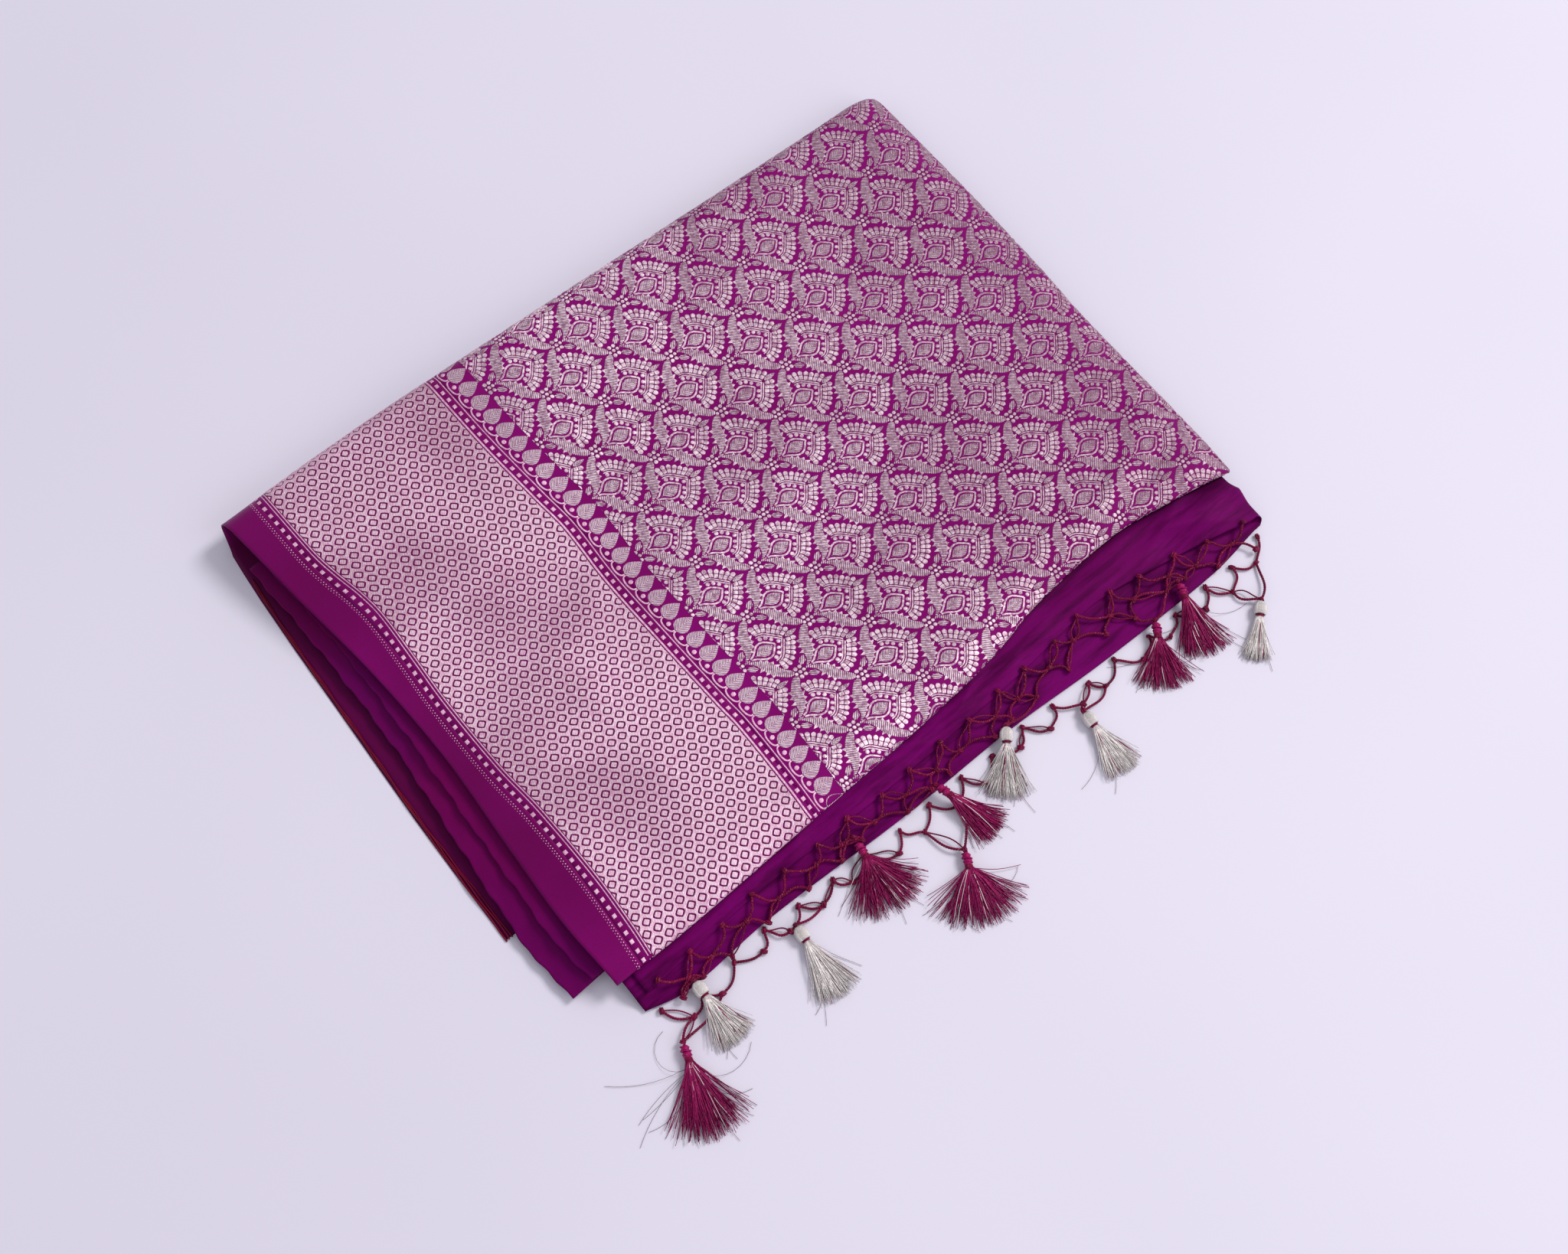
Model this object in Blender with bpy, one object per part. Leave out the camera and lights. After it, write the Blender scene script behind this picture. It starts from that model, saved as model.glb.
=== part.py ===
"""A brocade silk saree, folded into a flat stack and laid on a table.

The saree is folded once across its width and then many times along its length.
X runs across the cloth's width, from the open selvedges (-X) to the width fold (+X).
Y runs along the cloth's length, from the plain end piece with its fringe (-Y) to the
rounded back fold (+Y). Z is up, and the stack lies on Z = 0.
Plan sizes below are in millimetres and become metres in make_object.
"""

import math

import bpy
import bmesh
from mathutils import Vector

MM = 0.001

# Cloth
WALL = 1.2
SEAM = 0.3
CLEARANCE = 0.35

# Centre of the whole piece in plan, which becomes the origin
PLAN_CENTRE_X = 1.85
PLAN_CENTRE_Y = -5.15

# Heights of the stack over the table
STACK_MID = 21.0
BACK_RISE = 10.0
APEX_FALL = 5.0
NEAR_CORNER_RISE = 1.5
SELVEDGE_DROOP = 3.5
FRONT_DROP = 4.2
FRONT_DROP_REACH = 22.0
WIDTH_FOLD_END_HEIGHT = 12.0
WIDTH_FOLD_REACH = 30.0
BACK_FOLD_DEPTH = 15.0
NOSE_RADIUS = 1.6
NOSE_RETURN = 13.0
APEX_CUT = 3.0

# Lines across the top fold: y along the length, x across the width
SELVEDGE_LINE = ((270, -279), (190, -272), (110, -264), (30, -262), (-50, -267), (-110, -270),
                 (-162, -268))
BORDER_OUTER_LINE = ((270, -253), (190, -249), (110, -243), (30, -246), (-60, -242), (-162, -248))
BORDER_INNER_LINE = ((270, -100), (100, -93), (-50, -95), (-162, -103))
WIDTH_FOLD_LINE = ((255, 308), (145, 303), (60, 297), (0, 291), (-118, 284), (-162, 280))
LOWEST_EDGE_LINE = ((262, -284), (190, -291), (77, -297), (-20, -302), (-95, -304))
SECOND_EDGE_LINE = ((245, -284), (150, -281), (60, -283), (-40, -292), (-110, -297), (-150, -293))
MIDDLE_EDGE_LINE = ((245, -275), (150, -270), (60, -272), (-50, -278), (-120, -281), (-152, -276))
MIDDLE_LAYER = {"tuck": 12.6, "height": 12.2, "droop": 0.9, "ripple": 0.5, "front": -147.5, "back": 238.0}
SECOND_LAYER = {"tuck": 6.4, "height": 8.85, "droop": 3.0, "ripple": 0.9, "front": -148.0, "back": 236.0}

# Lines along the top fold: x across the width, y along the length
FRONT_EDGE_LINE = ((-270, -162), (-200, -162), (-100, -159), (0, -156), (60, -151), (110, -142),
                   (186, -139), (230, -146), (276, -155))
BACK_FOLD_LINE = ((-282, 271), (-170, 272), (-50, 268), (94, 262), (200, 259), (308, 256))
LOWEST_FRONT_LINE = ((-304, -89), (-288, -93), (-262, -138), (-240, -148), (308, -148))

# The plain end piece: hems of its upper and lower layers
UPPER_HEM_LINE = ((-256, -176), (-160, -172), (-60, -174), (60, -171), (140, -166), (200, -175),
                  (240, -184), (266, -191))
LOWER_HEM_LINE = ((-264, -183), (-236, -190), (-167, -188), (-60, -193), (40, -194), (120, -199),
                  (220, -201), (266, -196))
END_PIECE_TUCK = 13.0
END_PIECE_ROOT_HEIGHT = 9.2
END_PIECE_LEFT_LOWER = -264.0
END_PIECE_LEFT_UPPER = -256.0
END_PIECE_RIGHT_ROOT = 273.0
END_PIECE_RIGHT_HEM = 271.0
LAYER_STEP = 1.75

# Main creases of the top fold: centre, direction in degrees, half length, half width, depth
CREASES = (
    {"x": -200, "y": 170, "turn": 78, "reach": 80, "width": 16, "depth": 1.3},
    {"x": -165, "y": 40, "turn": 98, "reach": 95, "width": 20, "depth": -0.9},
    {"x": -205, "y": -90, "turn": 84, "reach": 70, "width": 15, "depth": 0.9},
    {"x": -40, "y": 120, "turn": 12, "reach": 90, "width": 24, "depth": 0.9},
    {"x": 90, "y": 20, "turn": 150, "reach": 110, "width": 26, "depth": 1.0},
    {"x": 190, "y": 150, "turn": 64, "reach": 85, "width": 18, "depth": 0.9},
    {"x": 20, "y": -70, "turn": 20, "reach": 80, "width": 18, "depth": -0.8},
    {"x": 222, "y": -128, "turn": 22, "reach": 42, "width": 7, "depth": 1.6},
    {"x": 206, "y": -113, "turn": 24, "reach": 44, "width": 7, "depth": -1.5},
)

# The hidden layers: height of each ring over the table, then its share of the way from the last
# such height to the top, and how far it stands in from the lines of the top fold
CORE_RINGS = (
    {"z": 1.6, "share": 0.0, "left": 6.0, "front": 10.0, "right": 8.0, "back": 17.0},
    {"z": 2.4, "share": 0.0, "left": 2.0, "front": 6.0, "right": 3.2, "back": 13.0},
    {"z": 3.6, "share": 0.0, "left": 1.6, "front": 5.0, "right": 1.6, "back": 9.5},
    {"z": 4.6, "share": 0.0, "left": 3.0, "front": 5.6, "right": 3.4, "back": 7.5},
    {"z": 5.8, "share": 0.0, "left": 1.6, "front": 4.6, "right": 1.8, "back": 5.6},
    {"z": 7.25, "share": 0.0, "left": 2.0, "front": 5.0, "right": 3.2, "back": 4.4},
    {"z": 7.3, "share": 0.0, "left": 7.0, "front": 5.0, "right": 3.0, "back": 4.3},
    {"z": 8.2, "share": 0.0, "left": 7.6, "front": 5.2, "right": 1.8, "back": 3.8},
    {"z": 8.25, "share": 0.0, "left": 7.6, "front": 23.0, "right": 2.4, "back": 3.7},
    {"z": 10.0, "share": 0.0, "left": 7.0, "front": 23.0, "right": 6.0, "back": 3.4},
    {"z": 10.6, "share": 0.0, "left": 7.6, "front": 23.0, "right": 19.0, "back": 3.4},
    {"z": 10.65, "share": 0.0, "left": 13.5, "front": 23.0, "right": 21.0, "back": 3.4},
    {"z": 10.65, "share": 0.35, "left": 14.5, "front": 24.0, "right": 24.0, "back": 4.6},
    {"z": 10.65, "share": 0.70, "left": 14.0, "front": 26.0, "right": 27.0, "back": 8.0},
    {"z": 10.65, "share": 0.92, "left": 15.0, "front": 28.0, "right": 30.0, "back": 12.5},
    {"z": 10.65, "share": 1.0, "left": 18.0, "front": 31.0, "right": 34.0, "back": 18.0},
)
CORE_CORNER = 0.035
CORE_TOP_SCALES = (0.90, 0.74, 0.52, 0.28)
CORE_SLACK = 1.5

# Tassels: the net and the place they hang from, its height, the way they point, and their
# length and spread
TASSELS = (
    {"name": "tassel_01", "tone": "silver", "net": "lower", "x": 228, "y": -238, "z": 4.5,
     "heading": -141, "length": 40, "spread": 22},
    {"name": "tassel_02", "tone": "maroon", "net": "upper", "x": 194, "y": -193, "z": 8.6,
     "heading": -111, "length": 49, "spread": 34},
    {"name": "tassel_03", "tone": "maroon", "net": "upper", "x": 162, "y": -203, "z": 7.6,
     "heading": -126, "length": 43, "spread": 46},
    {"name": "tassel_04", "tone": "silver", "net": "lower", "x": 82, "y": -219, "z": 4.5,
     "heading": -97, "length": 45, "spread": 32},
    {"name": "tassel_05", "tone": "silver", "net": "upper", "x": 34, "y": -193, "z": 8.4,
     "heading": -132, "length": 45, "spread": 38},
    {"name": "tassel_06", "tone": "maroon", "net": "upper", "x": -27, "y": -194, "z": 8.4,
     "heading": -76, "length": 45, "spread": 28},
    {"name": "tassel_07", "tone": "maroon", "net": "upper", "x": -92, "y": -186, "z": 9.0,
     "heading": -99, "length": 47, "spread": 64},
    {"name": "tassel_08", "tone": "maroon", "net": "lower", "x": -43, "y": -238, "z": 4.5,
     "heading": -118, "length": 46, "spread": 70},
    {"name": "tassel_09", "tone": "silver", "net": "lower", "x": -157, "y": -205, "z": 4.5,
     "heading": -97, "length": 49, "spread": 30},
    {"name": "tassel_10", "tone": "silver", "net": "upper", "x": -229, "y": -191, "z": 7.6,
     "heading": -92, "length": 43, "spread": 34},
    {"name": "tassel_11", "tone": "maroon", "net": "lower", "x": -259, "y": -216, "z": 4.5,
     "heading": -110, "length": 55, "spread": 40},
)
TASSEL_HEAD_LENGTH = 10.0
TASSEL_HEAD_RADIUS = 3.9
HEAD_DISCS = ((4.0, 4.0), (6.1, 3.9), (12.5, 4.6))
LOCK_COLUMNS = 6
LOCK_ROWS = 2
LOCK_HALF_WIDTH = 0.85
LOCK_HALF_HEIGHT = 0.7
LOWEST_LOCK_HEIGHT = 1.1
LOCK_RISE = 1.9
LOCK_TAPER = (1.0, 0.6)
LOCK_SPACING = 0.72
NECK_HEIGHT = 4.2

# Knotted net
NET_PITCH = 27.0
NET_CORD_HALF_WIDTH = 1.35
NET_CORD_HALF_HEIGHT = 1.1
UPPER_NET = {"start": -246.0, "stop": 258.0, "rows": 2, "drop": 9.5, "steps": 2}
LOWER_NET = {"start": -256.0, "stop": 262.0, "rows": 1, "drop": 10.0, "steps": 1}
NET_PULLS = (0.16, 0.42)
UPPER_NET_LOWEST = 4.1
NET_REACH = 4.2
ROOT_GAP = 2.6
ROOT_RISE_REACH = 17.0
LOWER_ROOT_REACH = 30.0
OUTSIDE_HEM = 4.6
SLIM_SHARE = 0.55

# Colours: linear base colour, roughness, metallic
FINISHES = {
    "purple_silk": ((0.19, 0.004, 0.13), 0.42, 0.0),
    "border_zari": ((0.58, 0.36, 0.42), 0.38, 0.55),
    "field_zari": ((0.52, 0.36, 0.42), 0.38, 0.55),
    "maroon_cord": ((0.24, 0.008, 0.055), 0.45, 0.0),
    "silver_thread": ((0.50, 0.48, 0.45), 0.35, 0.6),
}


def ease(share):
    share = min(max(share, 0.0), 1.0)
    return share * share * (3.0 - 2.0 * share)


def along(line, at):
    """Value of a line of (place, value) rows at a place, on a smooth curve through the rows."""
    rows = sorted(line)
    if at <= rows[0][0]:
        return float(rows[0][1])
    if at >= rows[-1][0]:
        return float(rows[-1][1])
    index = 0
    while rows[index + 1][0] < at:
        index += 1

    def slope(row):
        low = rows[max(row - 1, 0)]
        high = rows[min(row + 1, len(rows) - 1)]
        return (high[1] - low[1]) / (high[0] - low[0])

    start, stop = rows[index], rows[index + 1]
    span = stop[0] - start[0]
    t = (at - start[0]) / span
    return (
        (2 * t ** 3 - 3 * t ** 2 + 1) * start[1]
        + (t ** 3 - 2 * t ** 2 + t) * span * slope(index)
        + (-2 * t ** 3 + 3 * t ** 2) * stop[1]
        + (t ** 3 - t ** 2) * span * slope(index + 1)
    )


def mix(low, high, share):
    return low + (high - low) * share


def crease_depth(x, y):
    """How far the creases push the top fold down at a place in plan."""
    depth = 0.0
    for crease in CREASES:
        turn = math.radians(crease["turn"])
        dx, dy = x - crease["x"], y - crease["y"]
        lengthwise = dx * math.cos(turn) + dy * math.sin(turn)
        across = -dx * math.sin(turn) + dy * math.cos(turn)
        away = (lengthwise / crease["reach"]) ** 2 + (across / crease["width"]) ** 2
        depth += crease["depth"] * math.exp(-away)
    return depth


def stack_height(x, y):
    """Height of the top fold's outer face, before its edges turn down."""
    back = ease((y - 70.0) / 180.0)
    right = ease((x - 40.0) / 220.0)
    height = STACK_MID + BACK_RISE * back - APEX_FALL * back * right
    height += NEAR_CORNER_RISE * right * (1.0 - ease((y + 60.0) / 120.0))
    droop = ease((-238.0 - x) / 36.0) * (1.0 - 0.75 * ease((y - 150.0) / 90.0))
    return height - SELVEDGE_DROOP * droop * (1.0 - ease((-95.0 - y) / 45.0))


def top_height(x, y):
    """Height of the top fold's outer face, with its front edge pressed down."""
    from_front = ease((y - along(FRONT_EDGE_LINE, x)) / FRONT_DROP_REACH)
    creased = crease_depth(x, y) * mix(0.3, 1.0, from_front)
    return stack_height(x, y) - creased - FRONT_DROP * (1.0 - from_front)


# Solids

def finish(name):
    material = bpy.data.materials.get(name)
    if material is None:
        colour, roughness, metallic = FINISHES[name]
        material = bpy.data.materials.new(name)
        material.use_nodes = True
        shader = material.node_tree.nodes["Principled BSDF"]
        shader.inputs["Base Color"].default_value = (*colour, 1.0)
        shader.inputs["Roughness"].default_value = roughness
        shader.inputs["Metallic"].default_value = metallic
    return material


def make_object(name, points, faces, material, parent):
    """One named object from plan points in millimetres."""
    mesh = bpy.data.meshes.new(name)
    centred = [((x - PLAN_CENTRE_X) * MM, (y - PLAN_CENTRE_Y) * MM, z * MM) for x, y, z in points]
    mesh.from_pydata(centred, [], faces)
    work = bmesh.new()
    work.from_mesh(mesh)
    bmesh.ops.recalc_face_normals(work, faces=work.faces)
    work.to_mesh(mesh)
    work.free()
    mesh.materials.append(finish(material))
    mesh.shade_smooth()
    mesh.set_sharp_from_angle(angle=math.radians(40))
    made = bpy.data.objects.new(name, mesh)
    made.parent = parent
    bpy.context.scene.collection.objects.link(made)
    return made


def grid_normals(grid):
    """Unit normals of a grid of points, from its neighbours in both directions."""
    rows, columns = len(grid), len(grid[0])
    normals = []
    for i in range(rows):
        line = []
        for j in range(columns):
            down = grid[min(i + 1, rows - 1)][j] - grid[max(i - 1, 0)][j]
            side = grid[i][min(j + 1, columns - 1)] - grid[i][max(j - 1, 0)]
            line.append(down.cross(side).normalized())
        normals.append(line)
    return normals


def wall_solid(name, grid, inward, thickness, material, parent, flat_from=None):
    """A wall from a grid of points on one face. inward is 1 or -1 along the grid's normals.

    Rows from flat_from on lie flat on the table, so their inner face is straight above them.
    """
    rows, columns = len(grid), len(grid[0])
    normals = grid_normals(grid)
    points = [tuple(point) for line in grid for point in line]
    for i in range(rows):
        for j in range(columns):
            step = normals[i][j] * inward * thickness
            if flat_from is not None and i >= flat_from:
                step = Vector((0.0, 0.0, thickness))
            points.append(tuple(grid[i][j] + step))
    inner = rows * columns
    faces = []
    for i in range(rows - 1):
        for j in range(columns - 1):
            a, b = i * columns + j, i * columns + j + 1
            c, d = (i + 1) * columns + j + 1, (i + 1) * columns + j
            faces.append((a, b, c, d))
            faces.append((inner + d, inner + c, inner + b, inner + a))
    rim = [j for j in range(columns)]
    rim += [i * columns + columns - 1 for i in range(1, rows)]
    rim += [(rows - 1) * columns + j for j in range(columns - 2, -1, -1)]
    rim += [i * columns for i in range(rows - 2, 0, -1)]
    for start, stop in zip(rim, rim[1:] + rim[:1]):
        faces.append((start, inner + start, inner + stop, stop))
    return make_object(name, points, faces, material, parent)


# The outermost fold: top, rounded back fold and lowest layer in one length of cloth

TOP_STATIONS = (0.0, 0.03, 0.065, 0.12, 0.21, 0.31, 0.41, 0.51, 0.61, 0.71, 0.80, 0.88, 0.95)
BACK_TURN_STEPS = 8
LOWEST_STATIONS = (0.12, 0.4, 0.7, 1.0)


def column_lines(piece, share):
    """x of a column of the outermost fold on the top and on the table, as functions of y."""
    low_top, high_top, low_table, high_table = piece

    def on_top(y):
        return mix(low_top(y), high_top(y), share)

    def on_table(y):
        return mix(low_table(y), high_table(y), share)

    return on_top, on_table


def outer_column(on_top, on_table, end_drop):
    """Points down one column: return lip, front nose, top, back fold, lowest layer.

    end_drop is 0 on the flat top and 1 where the width fold has turned right down.
    """
    front = along(FRONT_EDGE_LINE, on_top(-155.0))
    back = along(BACK_FOLD_LINE, on_top(255.0)) - APEX_CUT * end_drop

    def height(x, y):
        full = top_height(x, y)
        return mix(full, min(full, WIDTH_FOLD_END_HEIGHT), end_drop)

    radius = NOSE_RADIUS + WALL / 2
    x = on_top(front)
    nose_top = height(x, front + radius)
    points = [Vector((x, front + radius + NOSE_RETURN, nose_top - 2 * radius))]
    for step in range(5):
        turn = math.radians(-90 - 45 * step)
        points.append(Vector((
            x, front + radius + radius * math.cos(turn), nose_top - radius + radius * math.sin(turn))))
    start, stop = front + radius + 2.5, back - BACK_FOLD_DEPTH
    for share in TOP_STATIONS:
        y = mix(start, stop, share)
        x = on_top(y)
        points.append(Vector((x, y, height(x, y))))
    x = on_top(stop)
    high = height(x, stop)
    for step in range(BACK_TURN_STEPS + 1):
        down = step / BACK_TURN_STEPS
        turn = math.radians(90 - 180 * down)
        y = stop + BACK_FOLD_DEPTH * math.cos(turn)
        x = mix(on_top(stop), on_table(stop), down)
        points.append(Vector((x, y, high / 2 + high / 2 * math.sin(turn))))
    end = along(LOWEST_FRONT_LINE, on_table(-100.0))
    for share in LOWEST_STATIONS:
        y = mix(stop, end, share)
        points.append(Vector((on_table(y), y, 0.0)))
    return points


def line_function(line, shift=0.0):
    return lambda y: along(line, y) + shift


def outermost_fold(parent):
    """Selvedge strip, woven border and brocade field, side by side across the same fold."""
    selvedge = line_function(SELVEDGE_LINE)
    lowest = line_function(LOWEST_EDGE_LINE)
    outer_low = line_function(BORDER_OUTER_LINE, -SEAM / 2)
    outer_high = line_function(BORDER_OUTER_LINE, SEAM / 2)
    inner_low = line_function(BORDER_INNER_LINE, -SEAM / 2)
    inner_high = line_function(BORDER_INNER_LINE, SEAM / 2)
    turn_start = line_function(WIDTH_FOLD_LINE, -WIDTH_FOLD_REACH)
    pieces = (
        ("selvedge_strip", (selvedge, outer_low, lowest, outer_low), 4, False, "purple_silk"),
        ("woven_border", (outer_high, inner_low, outer_high, inner_low), 8, False, "border_zari"),
        ("brocade_field", (inner_high, turn_start, inner_high, turn_start), 12, True, "field_zari"),
    )
    table_row = 6 + len(TOP_STATIONS) + BACK_TURN_STEPS
    for name, lines, columns, turns_down, material in pieces:
        grid = []
        for column in range(columns + 1):
            on_top, on_table = column_lines(lines, column / columns)
            grid.append(outer_column(on_top, on_table, 0.0))
        if turns_down:
            for step in range(1, 7):
                turn = math.radians(15 * step)
                shift = WIDTH_FOLD_REACH * math.sin(turn)
                on_top = line_function(WIDTH_FOLD_LINE, shift - WIDTH_FOLD_REACH)
                grid.append(outer_column(on_top, on_top, 1.0 - math.cos(turn)))
        rows = [[grid[j][i] for j in range(len(grid))] for i in range(len(grid[0]))]
        wall_solid(name, rows, 1, WALL, material, parent, flat_from=table_row)


# Inner layers that show at the open selvedge side

def inner_layer(name, edge_line, layer, parent):
    """A layer that lies in the stack and stands out past the top fold on the selvedge side."""
    grid = []
    rows, columns = 14, 4
    for i in range(rows + 1):
        y = mix(layer["front"], layer["back"], i / rows)
        edge = along(edge_line, y)
        root_x = along(SELVEDGE_LINE, y) + layer["tuck"]
        line = []
        for j in range(columns + 1):
            share = j / columns
            x = mix(root_x, edge, share)
            free = ease((root_x - 6.0 - x) / 24.0)
            wave = layer["ripple"] * math.sin(y / 31.0 + layer["height"]) * free
            line.append(Vector((x, y, layer["height"] - layer["droop"] * free + wave)))
        grid.append(line)
    wall_solid(name, grid, -1, WALL, "purple_silk", parent)


# Plain end piece

def lower_end_height(x, y):
    """Middle of the lower layer of the end piece."""
    front = along(FRONT_EDGE_LINE, x)
    hem = along(LOWER_HEM_LINE, x)
    out = (front - 1.0 - y) / (front - 1.0 - hem)
    wave = 0.7 * math.sin(x / 17.0) + 0.5 * math.sin(x / 7.3 + y / 9.0)
    settled = 1.3 + 0.35 * (1.0 + math.sin(x / 23.0))
    rippled = wave * 1.4 * ease(out * 2.0) * (1.0 - ease(out))
    return mix(END_PIECE_ROOT_HEIGHT, settled, ease(out * 1.02)) + rippled


def upper_end_height(x, y):
    """Middle of the upper layer of the end piece, lying on the lower one and puffed at its fold."""
    front = along(FRONT_EDGE_LINE, x)
    out = ease((front - 2.0 - y) / 14.0)
    puff = 3.2 * ease((x - 195.0) / 55.0) * out
    swell = (0.5 + 0.5 * math.sin(x / 13.0 + 1.2)) * out * 0.8
    return lower_end_height(x, y) + LAYER_STEP + puff + swell


def end_piece(parent):
    """The plain end of the cloth, doubled at the width fold, with its two hems one over the other."""
    rows, columns = 6, 26
    turn_steps = 6
    grid = []
    for i in range(rows + 1):
        out = i / rows
        line = []
        right = mix(END_PIECE_RIGHT_ROOT, END_PIECE_RIGHT_HEM, out)
        for j in range(columns + 1):
            x = mix(END_PIECE_LEFT_LOWER, right, j / columns)
            root = along(FRONT_EDGE_LINE, x) + END_PIECE_TUCK
            y = mix(root, along(LOWER_HEM_LINE, x), out)
            line.append(Vector((x, y, lower_end_height(x, y))))
        low_y = line[-1].y
        root = along(FRONT_EDGE_LINE, right) + END_PIECE_TUCK
        high_y = mix(root, along(UPPER_HEM_LINE, right), out)
        low, high = line[-1].z, upper_end_height(right, high_y)
        radius = (high - low) / 2
        for step in range(1, turn_steps):
            turn = math.radians(-90 + 180 * step / turn_steps)
            y = mix(low_y, high_y, step / turn_steps)
            bulge = max(radius, 1.6)
            z = (low + high) / 2 + radius * math.sin(turn)
            line.append(Vector((right + bulge * math.cos(turn), y, z)))
        for j in range(columns, -1, -1):
            x = mix(END_PIECE_LEFT_UPPER, right, j / columns)
            root = along(FRONT_EDGE_LINE, x) + END_PIECE_TUCK
            y = mix(root, along(UPPER_HEM_LINE, x), out)
            line.append(Vector((x, y, upper_end_height(x, y))))
        grid.append(line)
    half = WALL / 2
    normals = grid_normals(grid)
    outer = []
    for line, across in zip(grid, normals):
        outer.append([point + normal * half for point, normal in zip(line, across)])
    wall_solid("end_piece", outer, -1, WALL, "purple_silk", parent)


# Hidden layers

def square_loop(per_side, corner):
    """Points round a unit square: even along each side, with a short arc at each corner."""
    loop = []
    sides = (((0, 0), (1, 0)), ((1, 0), (1, 1)), ((1, 1), (0, 1)), ((0, 1), (0, 0)))
    for (ax, ay), (bx, by) in sides:
        for step in range(per_side + 1):
            share = mix(corner, 1.0 - corner, step / per_side)
            loop.append((mix(ax, bx, share), mix(ay, by, share)))
        cut = corner * 0.29
        loop.append((mix(bx, 0.5, 2 * cut), mix(by, 0.5, 2 * cut)))
    return loop


def core_plan(a, b, ring):
    """Plan point of the hidden layers, from shares of the way across and along the stack."""
    y_guess = mix(-150.0, 255.0, b)
    left = along(SELVEDGE_LINE, y_guess) + ring["left"]
    x = mix(left, along(WIDTH_FOLD_LINE, y_guess) - ring["right"], a)
    front = along(FRONT_EDGE_LINE, x) + ring["front"]
    back = along(BACK_FOLD_LINE, x) - APEX_CUT * ease((x - 270.0) / 30.0) - ring["back"]
    return x, mix(front, back, b)


def core_top(x, y):
    """Top of the hidden layers, just under the wall of the top fold."""
    to_fold = (x - (along(WIDTH_FOLD_LINE, y) - WIDTH_FOLD_REACH)) / WIDTH_FOLD_REACH
    height = top_height(x, y)
    if to_fold > 0.0:
        drop = 1.0 - math.sqrt(max(1.0 - min(to_fold, 1.0) ** 2, 0.0))
        height = mix(height, min(height, WIDTH_FOLD_END_HEIGHT), drop)
    return height - WALL - CORE_SLACK


def hidden_layers(parent):
    loop = square_loop(10, CORE_CORNER)
    count = len(loop)
    points = []
    for ring in CORE_RINGS:
        for a, b in loop:
            x, y = core_plan(a, b, ring)
            points.append((x, y, mix(ring["z"], core_top(x, y), ring["share"])))
    last = CORE_RINGS[-1]
    for scale in CORE_TOP_SCALES:
        for a, b in loop:
            x, y = core_plan(0.5 + (a - 0.5) * scale, 0.5 + (b - 0.5) * scale, last)
            points.append((x, y, core_top(x, y)))
    x, y = core_plan(0.5, 0.5, last)
    points.append((x, y, core_top(x, y)))
    rings = len(CORE_RINGS) + len(CORE_TOP_SCALES)
    faces = [tuple(range(count - 1, -1, -1))]
    for level in range(rings - 1):
        for i in range(count):
            k = (i + 1) % count
            low, high = level * count, (level + 1) * count
            faces.append((low + i, low + k, high + k, high + i))
    top = (rings - 1) * count
    for i in range(count):
        faces.append((top + i, top + (i + 1) % count, rings * count))
    make_object("hidden_layers", points, faces, "purple_silk", parent)


# Knotted net

def cloth_under(x, y):
    """Height of the upper face of what lies under a fringe cord: end piece or table."""
    if END_PIECE_LEFT_UPPER < x < END_PIECE_RIGHT_HEM + 4.0 and y > along(UPPER_HEM_LINE, x):
        return upper_end_height(x, y) + WALL / 2
    if END_PIECE_LEFT_LOWER < x < END_PIECE_RIGHT_HEM + 4.0 and y > along(LOWER_HEM_LINE, x):
        return lower_end_height(x, y) + WALL / 2
    return 0.0


def lower_net_under(x, y):
    """Height of the lower net's upper face, which rises to its tassels, or 0 away from it."""
    lying = CLEARANCE + 2.0 * NET_CORD_HALF_HEIGHT
    hem = along(LOWER_HEM_LINE, x)
    height = lying if hem - OUTSIDE_HEM - LOWER_NET["drop"] - 6.0 < y < hem else 0.0
    for spec in TASSELS:
        away = math.hypot(spec["x"] - x, spec["y"] - y)
        if spec["net"] == "lower" and away < LOWER_ROOT_REACH:
            rise = (spec["z"] + NET_CORD_HALF_HEIGHT - lying) * (1.0 - away / LOWER_ROOT_REACH)
            height = max(height, lying + rise)
    return height


def cloth_around(x, y, reach):
    """Highest cloth within reach of a place."""
    highest = 0.0
    for dx in (-reach, 0.0, reach):
        for dy in (-reach, 0.0, reach):
            highest = max(highest, cloth_under(x + dx, y + dy))
    return highest


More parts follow.
